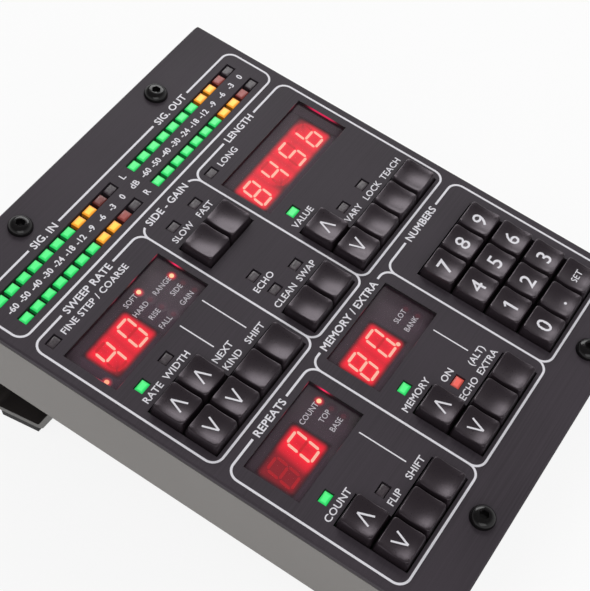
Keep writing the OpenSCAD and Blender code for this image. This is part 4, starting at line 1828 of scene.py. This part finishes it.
@dataclass
class PanelPrint(Assembly):
    """White printing on the panel: borders, guide lines, words and meter figures."""

    lift: float = 0.015
    depth: float = 0.045
    line: float = 0.7
    line_step: float = 0.004
    corner: float = 3.5
    corner_steps: int = 8
    guide: float = 0.42
    title_cap: float = 2.35
    title_bold: float = 0.03
    title_gap: float = 1.5
    label_cap: float = 2.1
    outer: float = 64.4
    upper: float = 13.9
    lower: float = 21.4
    meter_rows: tuple[float, float] = (138.72, 156.52)
    upper_rows: tuple[float, float] = (73.7, 135.45)
    lower_rows: tuple[float, float] = (14.67, 70.43)
    meter_cap: float = 2.0
    meter_bold: float = 0.034
    meter_stretch: float = 1.04
    meter_pitch: float = 5.14
    meter_centre: float = 31.7
    meter_shift: float = -0.1
    meter_middle: float = 147.5
    meter_levels: tuple[str, ...] = ("-60", "-50", "-40", "-30", "-24", "-18", "-12", "-9", "-6", "-3", "0")
    meter_letters: tuple[tuple[str, float], ...] = (("L", 152.0), ("dB", 147.5), ("R", 142.9))

    def sections(self) -> list[Section]:
        """Lists the printed borders."""
        return [
            Section(-self.outer, self.outer, *self.meter_rows, (("SIG. IN", -32.1), ("SIG. OUT", 31.5))),
            Section(-self.outer, -self.upper, *self.upper_rows, (("SWEEP RATE", -39.1),)),
            Section(-self.upper, self.upper, *self.upper_rows, (("SIDE - GAIN", 0.0),)),
            Section(self.upper, self.outer, *self.upper_rows, (("LENGTH", 39.1),)),
            Section(-self.outer, -self.lower, *self.lower_rows, (("REPEATS", -42.9),)),
            Section(-self.lower, self.lower, *self.lower_rows, (("MEMORY / EXTRA", 0.0),)),
            Section(self.lower, self.outer, *self.lower_rows, (("NUMBERS", 43.0),)),
        ]

    def labels(self) -> list[Label]:
        """Lists the words beside lamps and over keys."""
        return [
            Label("FINE STEP / COARSE", -55.6, 131.7, Side.LEFT),
            Label("LONG", 22.5, 131.7, Side.LEFT),
            Label("SLOW", -5.65, 125.6),
            Label("FAST", 5.65, 125.6),
            Label("RATE", -55.9, 100.5),
            Label("WIDTH", -44.6, 100.5),
            Label("VALUE", 22.0, 100.5),
            Label("ECHO", -5.65, 96.75),
            Label("NEXT", -37.5, 92.75, Side.LEFT),
            Label("KIND", -37.5, 89.1, Side.LEFT),
            Label("SHIFT", -22.2, 89.1),
            Label("CLEAN", -5.65, 89.1),
            Label("SWAP", 5.65, 89.1),
            Label("VARY", 33.3, 89.1),
            Label("LOCK", 44.6, 89.1),
            Label("TEACH", 55.9, 89.1),
            Label("COUNT", -54.2, 41.25),
            Label("MEMORY", -11.3, 41.25),
            Label("ON", 0.0, 37.25),
            Label("(ALT)", 11.3, 33.6),
            Label("FLIP", -42.9, 29.9),
            Label("SHIFT", -31.6, 29.9),
            Label("ECHO", 0.0, 29.9),
            Label("EXTRA", 11.3, 29.9),
        ]

    def guides(self) -> list[tuple[float, float, float]]:
        """Lists the thin lines that lead from windows to keys: place across, front and rear end."""
        return [(-33.3, 95.6, 107.25), (-22.2, 91.9, 107.25), (-31.6, 32.75, 48.0), (11.2, 36.25, 48.0)]

    def make_border(self, section: Section, words: list[Piece], level: float) -> Piece:
        """Models a border: a rounded sheet, inset and opened, then cut for its titles.

        Args:
            section: The section that it runs round.
            words: The section's titles, already in place.
            level: Height over the panel, of its own, because neighbours share a line.

        Returns:
            The border.
        """
        size = (section.right - section.left + self.line, section.rear - section.front + self.line)
        middle = ((section.left + section.right) / 2, (section.front + section.rear) / 2, level)
        border = Bench.strip("border", size, middle)
        Bench.pick_all(border, "VERT")
        radius = self.corner + self.line / 2
        bpy.ops.mesh.bevel(offset=radius, segments=self.corner_steps, affect="VERTICES")
        Bench.open_ring(border, self.line)
        for word in words:
            reach = [v.co.x for v in word.data.vertices]
            left, right = min(reach) - self.title_gap, max(reach) + self.title_gap
            for end in (left, right):
                Bench.score(border, (end, 0, 0), (1, 0, 0))

            def behind(face: bmesh.types.BMFace, left: float = left, right: float = right) -> bool:
                """Says whether a face of the border lies where the title stands."""
                middle = face.calc_center_median()
                return left < middle.x < right and middle.y > section.rear - self.line

            Bench.pick_faces(border, behind)
            bpy.ops.mesh.delete(type="FACE")
        Bench.clear()
        return border

    def make_meter_figures(self) -> list[Piece]:
        """Models the level figures between the meter bars and the letters beside them.

        Returns:
            The flat figures.
        """
        figures = []
        half = len(self.meter_levels) // 2
        for side in (-1, 1):
            for number, level in enumerate(self.meter_levels):
                x = side * self.meter_centre + (number - half) * self.meter_pitch + self.meter_shift
                figures.append(
                    Lettering.word(
                        level,
                        (x, self.meter_middle, self.lift),
                        self.meter_cap,
                        bold=self.meter_bold,
                        stretch=self.meter_stretch,
                    )
                )
        for text, y in self.meter_letters:
            figures.append(Lettering.word(text, (0, y, self.lift), self.label_cap))
        return figures

    def build(self) -> Piece:
        """Prints everything that stands on the panel.

        Returns:
            The printing as one piece.
        """
        parts: list[Piece] = []
        for number, section in enumerate(self.sections()):
            words = [
                Lettering.word(text, (x, section.rear, self.lift), self.title_cap, bold=self.title_bold)
                for text, x in section.titles
            ]
            parts += [self.make_border(section, words, self.lift + number * self.line_step), *words]
        for label in self.labels():
            place = (label.x, label.y, self.lift)
            parts.append(Lettering.word(label.text, place, self.label_cap, label.side))
        for x, front, rear in self.guides():
            middle = (x, (front + rear) / 2, self.lift)
            parts.append(Bench.strip("guide", (self.guide, rear - front), middle))
        parts += self.make_meter_figures()
        for part in parts:
            Bench.thicken(part, -self.depth)
        printing = self.assemble("panel_printing", parts, Look.INK)
        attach(printing, UNIT)
        LOG.info("panel printing of %d parts", len(parts))
        return printing


@dataclass
class WindowPrint(Assembly):
    """Small words on the front of the panes, beside the round lamps."""

    cap: float = 1.72
    bold: float = 0.008
    stretch: float = 0.95
    lift: float = 0.012
    depth: float = 0.04
    labels: tuple[Label, ...] = (
        Label("SOFT", -31.95, 123.55, Side.RIGHT),
        Label("HARD", -31.95, 119.6, Side.RIGHT),
        Label("RISE", -31.95, 115.55, Side.RIGHT),
        Label("FALL", -31.95, 111.5, Side.RIGHT),
        Label("RANGE", -21.0, 119.6, Side.RIGHT),
        Label("SIDE", -21.0, 115.55, Side.RIGHT),
        Label("GAIN", -21.0, 111.5, Side.RIGHT),
        Label("COUNT", -30.4, 62.65, Side.RIGHT),
        Label("TOP", -30.4, 58.6, Side.RIGHT),
        Label("BASE", -30.4, 54.6, Side.RIGHT),
        Label("SLOT", 12.5, 58.5, Side.RIGHT),
        Label("BANK", 12.5, 54.5, Side.RIGHT),
    )

    def build(self) -> Piece:
        """Prints the words on the panes.

        Returns:
            The words as one piece.
        """
        level = self.plane.box("display_windows").high.z + self.lift
        words = [
            Lettering.word(
                label.text, (label.x, label.y, level), self.cap, label.side, self.bold, self.stretch
            )
            for label in self.labels
        ]
        for word in words:
            Bench.thicken(word, -self.depth)
        joined = self.assemble("window_printing", words, Look.WINDOW_INK)
        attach(joined, UNIT)
        LOG.info("%d words on the panes", len(words))
        return joined


# ---------------------------------------------------------------- studio


@dataclass(frozen=True)
class SoftLamp:
    """A rectangular lamp: where it hangs and how large it is, in metres, and its power in watts."""

    name: str
    place: Triple
    size: tuple[float, float]
    power: float


@dataclass
class Studio:
    """Pale floor, soft lamps, plain surroundings and the camera."""

    plane: PanelPlane
    floor_side: float = 6.0
    focal: float = 1449.809612
    image_width: float = 590.0
    turn: Triple = (2.327347, -1.208791, 0.564719)
    reach: Triple = (74.282475, 42.159823, 407.420435)
    panel_shift: float = 0.515
    sensor: float = 36.0
    nearest: float = 0.01
    aim: Triple = (0, 0, 0.03)
    sky: float = 0.42
    room: tuple[tuple[float, float], ...] = ((0.3, 1.0), (0.75, 0.22))
    lamps: tuple[SoftLamp, ...] = (
        SoftLamp("rear_softbox", (0.8, 0.276, 0.916), (0.8, 0.42), 6.0),
        SoftLamp("front_softbox", (-0.9, -0.9, 0.9), (1.2, 0.9), 7.0),
    )

    def lay_floor(self) -> None:
        """Lays a pale floor with a faint unevenness."""
        Bench.clear()
        bpy.ops.mesh.primitive_plane_add(size=self.floor_side, location=(0, 0, 0))
        floor = bpy.context.object
        floor.name = "studio_floor"
        Bench.wear(floor, FloorFinish().build())

    def hang_lamp(self, soft: SoftLamp) -> None:
        """Hangs a soft lamp that faces the unit.

        Args:
            soft: The lamp.
        """
        Bench.clear()
        bpy.ops.object.light_add(type="AREA", location=soft.place)
        lamp = bpy.context.object
        lamp.name = soft.name
        lamp.data.shape = "RECTANGLE"
        lamp.data.size, lamp.data.size_y = soft.size
        lamp.data.energy = soft.power
        ahead = Vector(self.aim) - Vector(soft.place)
        lamp.rotation_euler = ahead.to_track_quat("-Z", "Y").to_euler()

    def surround(self) -> None:
        """Surrounds the unit with an even light, which cameras and glossy surfaces see as a white room."""
        world = bpy.data.worlds.new("studio_room")
        bpy.context.scene.world = world
        world.use_nodes = True
        nodes, links = world.node_tree.nodes, world.node_tree.links
        light = nodes["Background"]
        light.inputs["Color"].default_value = (1, 1, 1, 1)
        light.inputs["Strength"].default_value = self.sky
        room = nodes.new("ShaderNodeBackground")
        room.inputs["Strength"].default_value = 1.0
        place = nodes.new("ShaderNodeTexCoord")
        axes = nodes.new("ShaderNodeSeparateXYZ")
        shade = nodes.new("ShaderNodeValToRGB")
        for stop, (height, grey) in zip(shade.color_ramp.elements, self.room):
            stop.position = height
            stop.color = (grey, grey, grey, 1)
        links.new(place.outputs["Generated"], axes.inputs["Vector"])
        links.new(axes.outputs["Z"], shade.inputs["Fac"])
        links.new(shade.outputs["Color"], room.inputs["Color"])
        choose = nodes.new("ShaderNodeMixShader")
        links.new(showing(world.node_tree), choose.inputs["Fac"])
        links.new(light.outputs["Background"], choose.inputs[1])
        links.new(room.outputs["Background"], choose.inputs[2])
        links.new(choose.outputs["Shader"], nodes["World Output"].inputs["Surface"])

    def set_camera(self) -> None:
        """Sets the camera where the photograph was taken from."""
        axis = Vector(self.turn)
        view = Quaternion(axis.normalized(), axis.length).to_matrix()
        place = -(view.transposed() @ Vector(self.reach)) - Vector((self.panel_shift, 0, 0))
        axes = Matrix((view[0], -view[1], -view[2])).transposed()
        data = bpy.data.cameras.new("photo_camera")
        data.sensor_fit = "HORIZONTAL"
        data.sensor_width = self.sensor
        data.lens = self.focal * self.sensor / self.image_width
        data.clip_start = self.nearest
        camera = bpy.data.objects.new("photo_camera", data)
        bpy.context.collection.objects.link(camera)
        stand = Matrix.Translation(self.plane.matrix @ place)
        camera.matrix_world = stand @ self.plane.turn @ axes.to_4x4()
        bpy.context.scene.camera = camera

    def build(self) -> None:
        """Sets up the whole studio."""
        bpy.context.scene.view_settings.view_transform = "Standard"
        self.lay_floor()
        for soft in self.lamps:
            self.hang_lamp(soft)
        self.surround()
        self.set_camera()
        LOG.info("studio set")


def main() -> None:
    """Builds the unit's pieces in order."""
    logging.basicConfig(level=logging.INFO, format="%(message)s")
    plane = PanelPlane()
    Studio(plane).build()
    Housing().dress()
    KeyBank(plane).build()
    PanelScrews(plane).build()
    LampLenses(plane).build()
    for node, text in SHOWN.items():
        NumberDisplay(plane, node, text).build()
    windows = DisplayWindows(plane)
    windows.build_panes()
    windows.build_dots()
    windows.build_painted_spill()
    PanelPrint(plane).build()
    WindowPrint(plane).build()


if __name__ == "__main__":
    main()
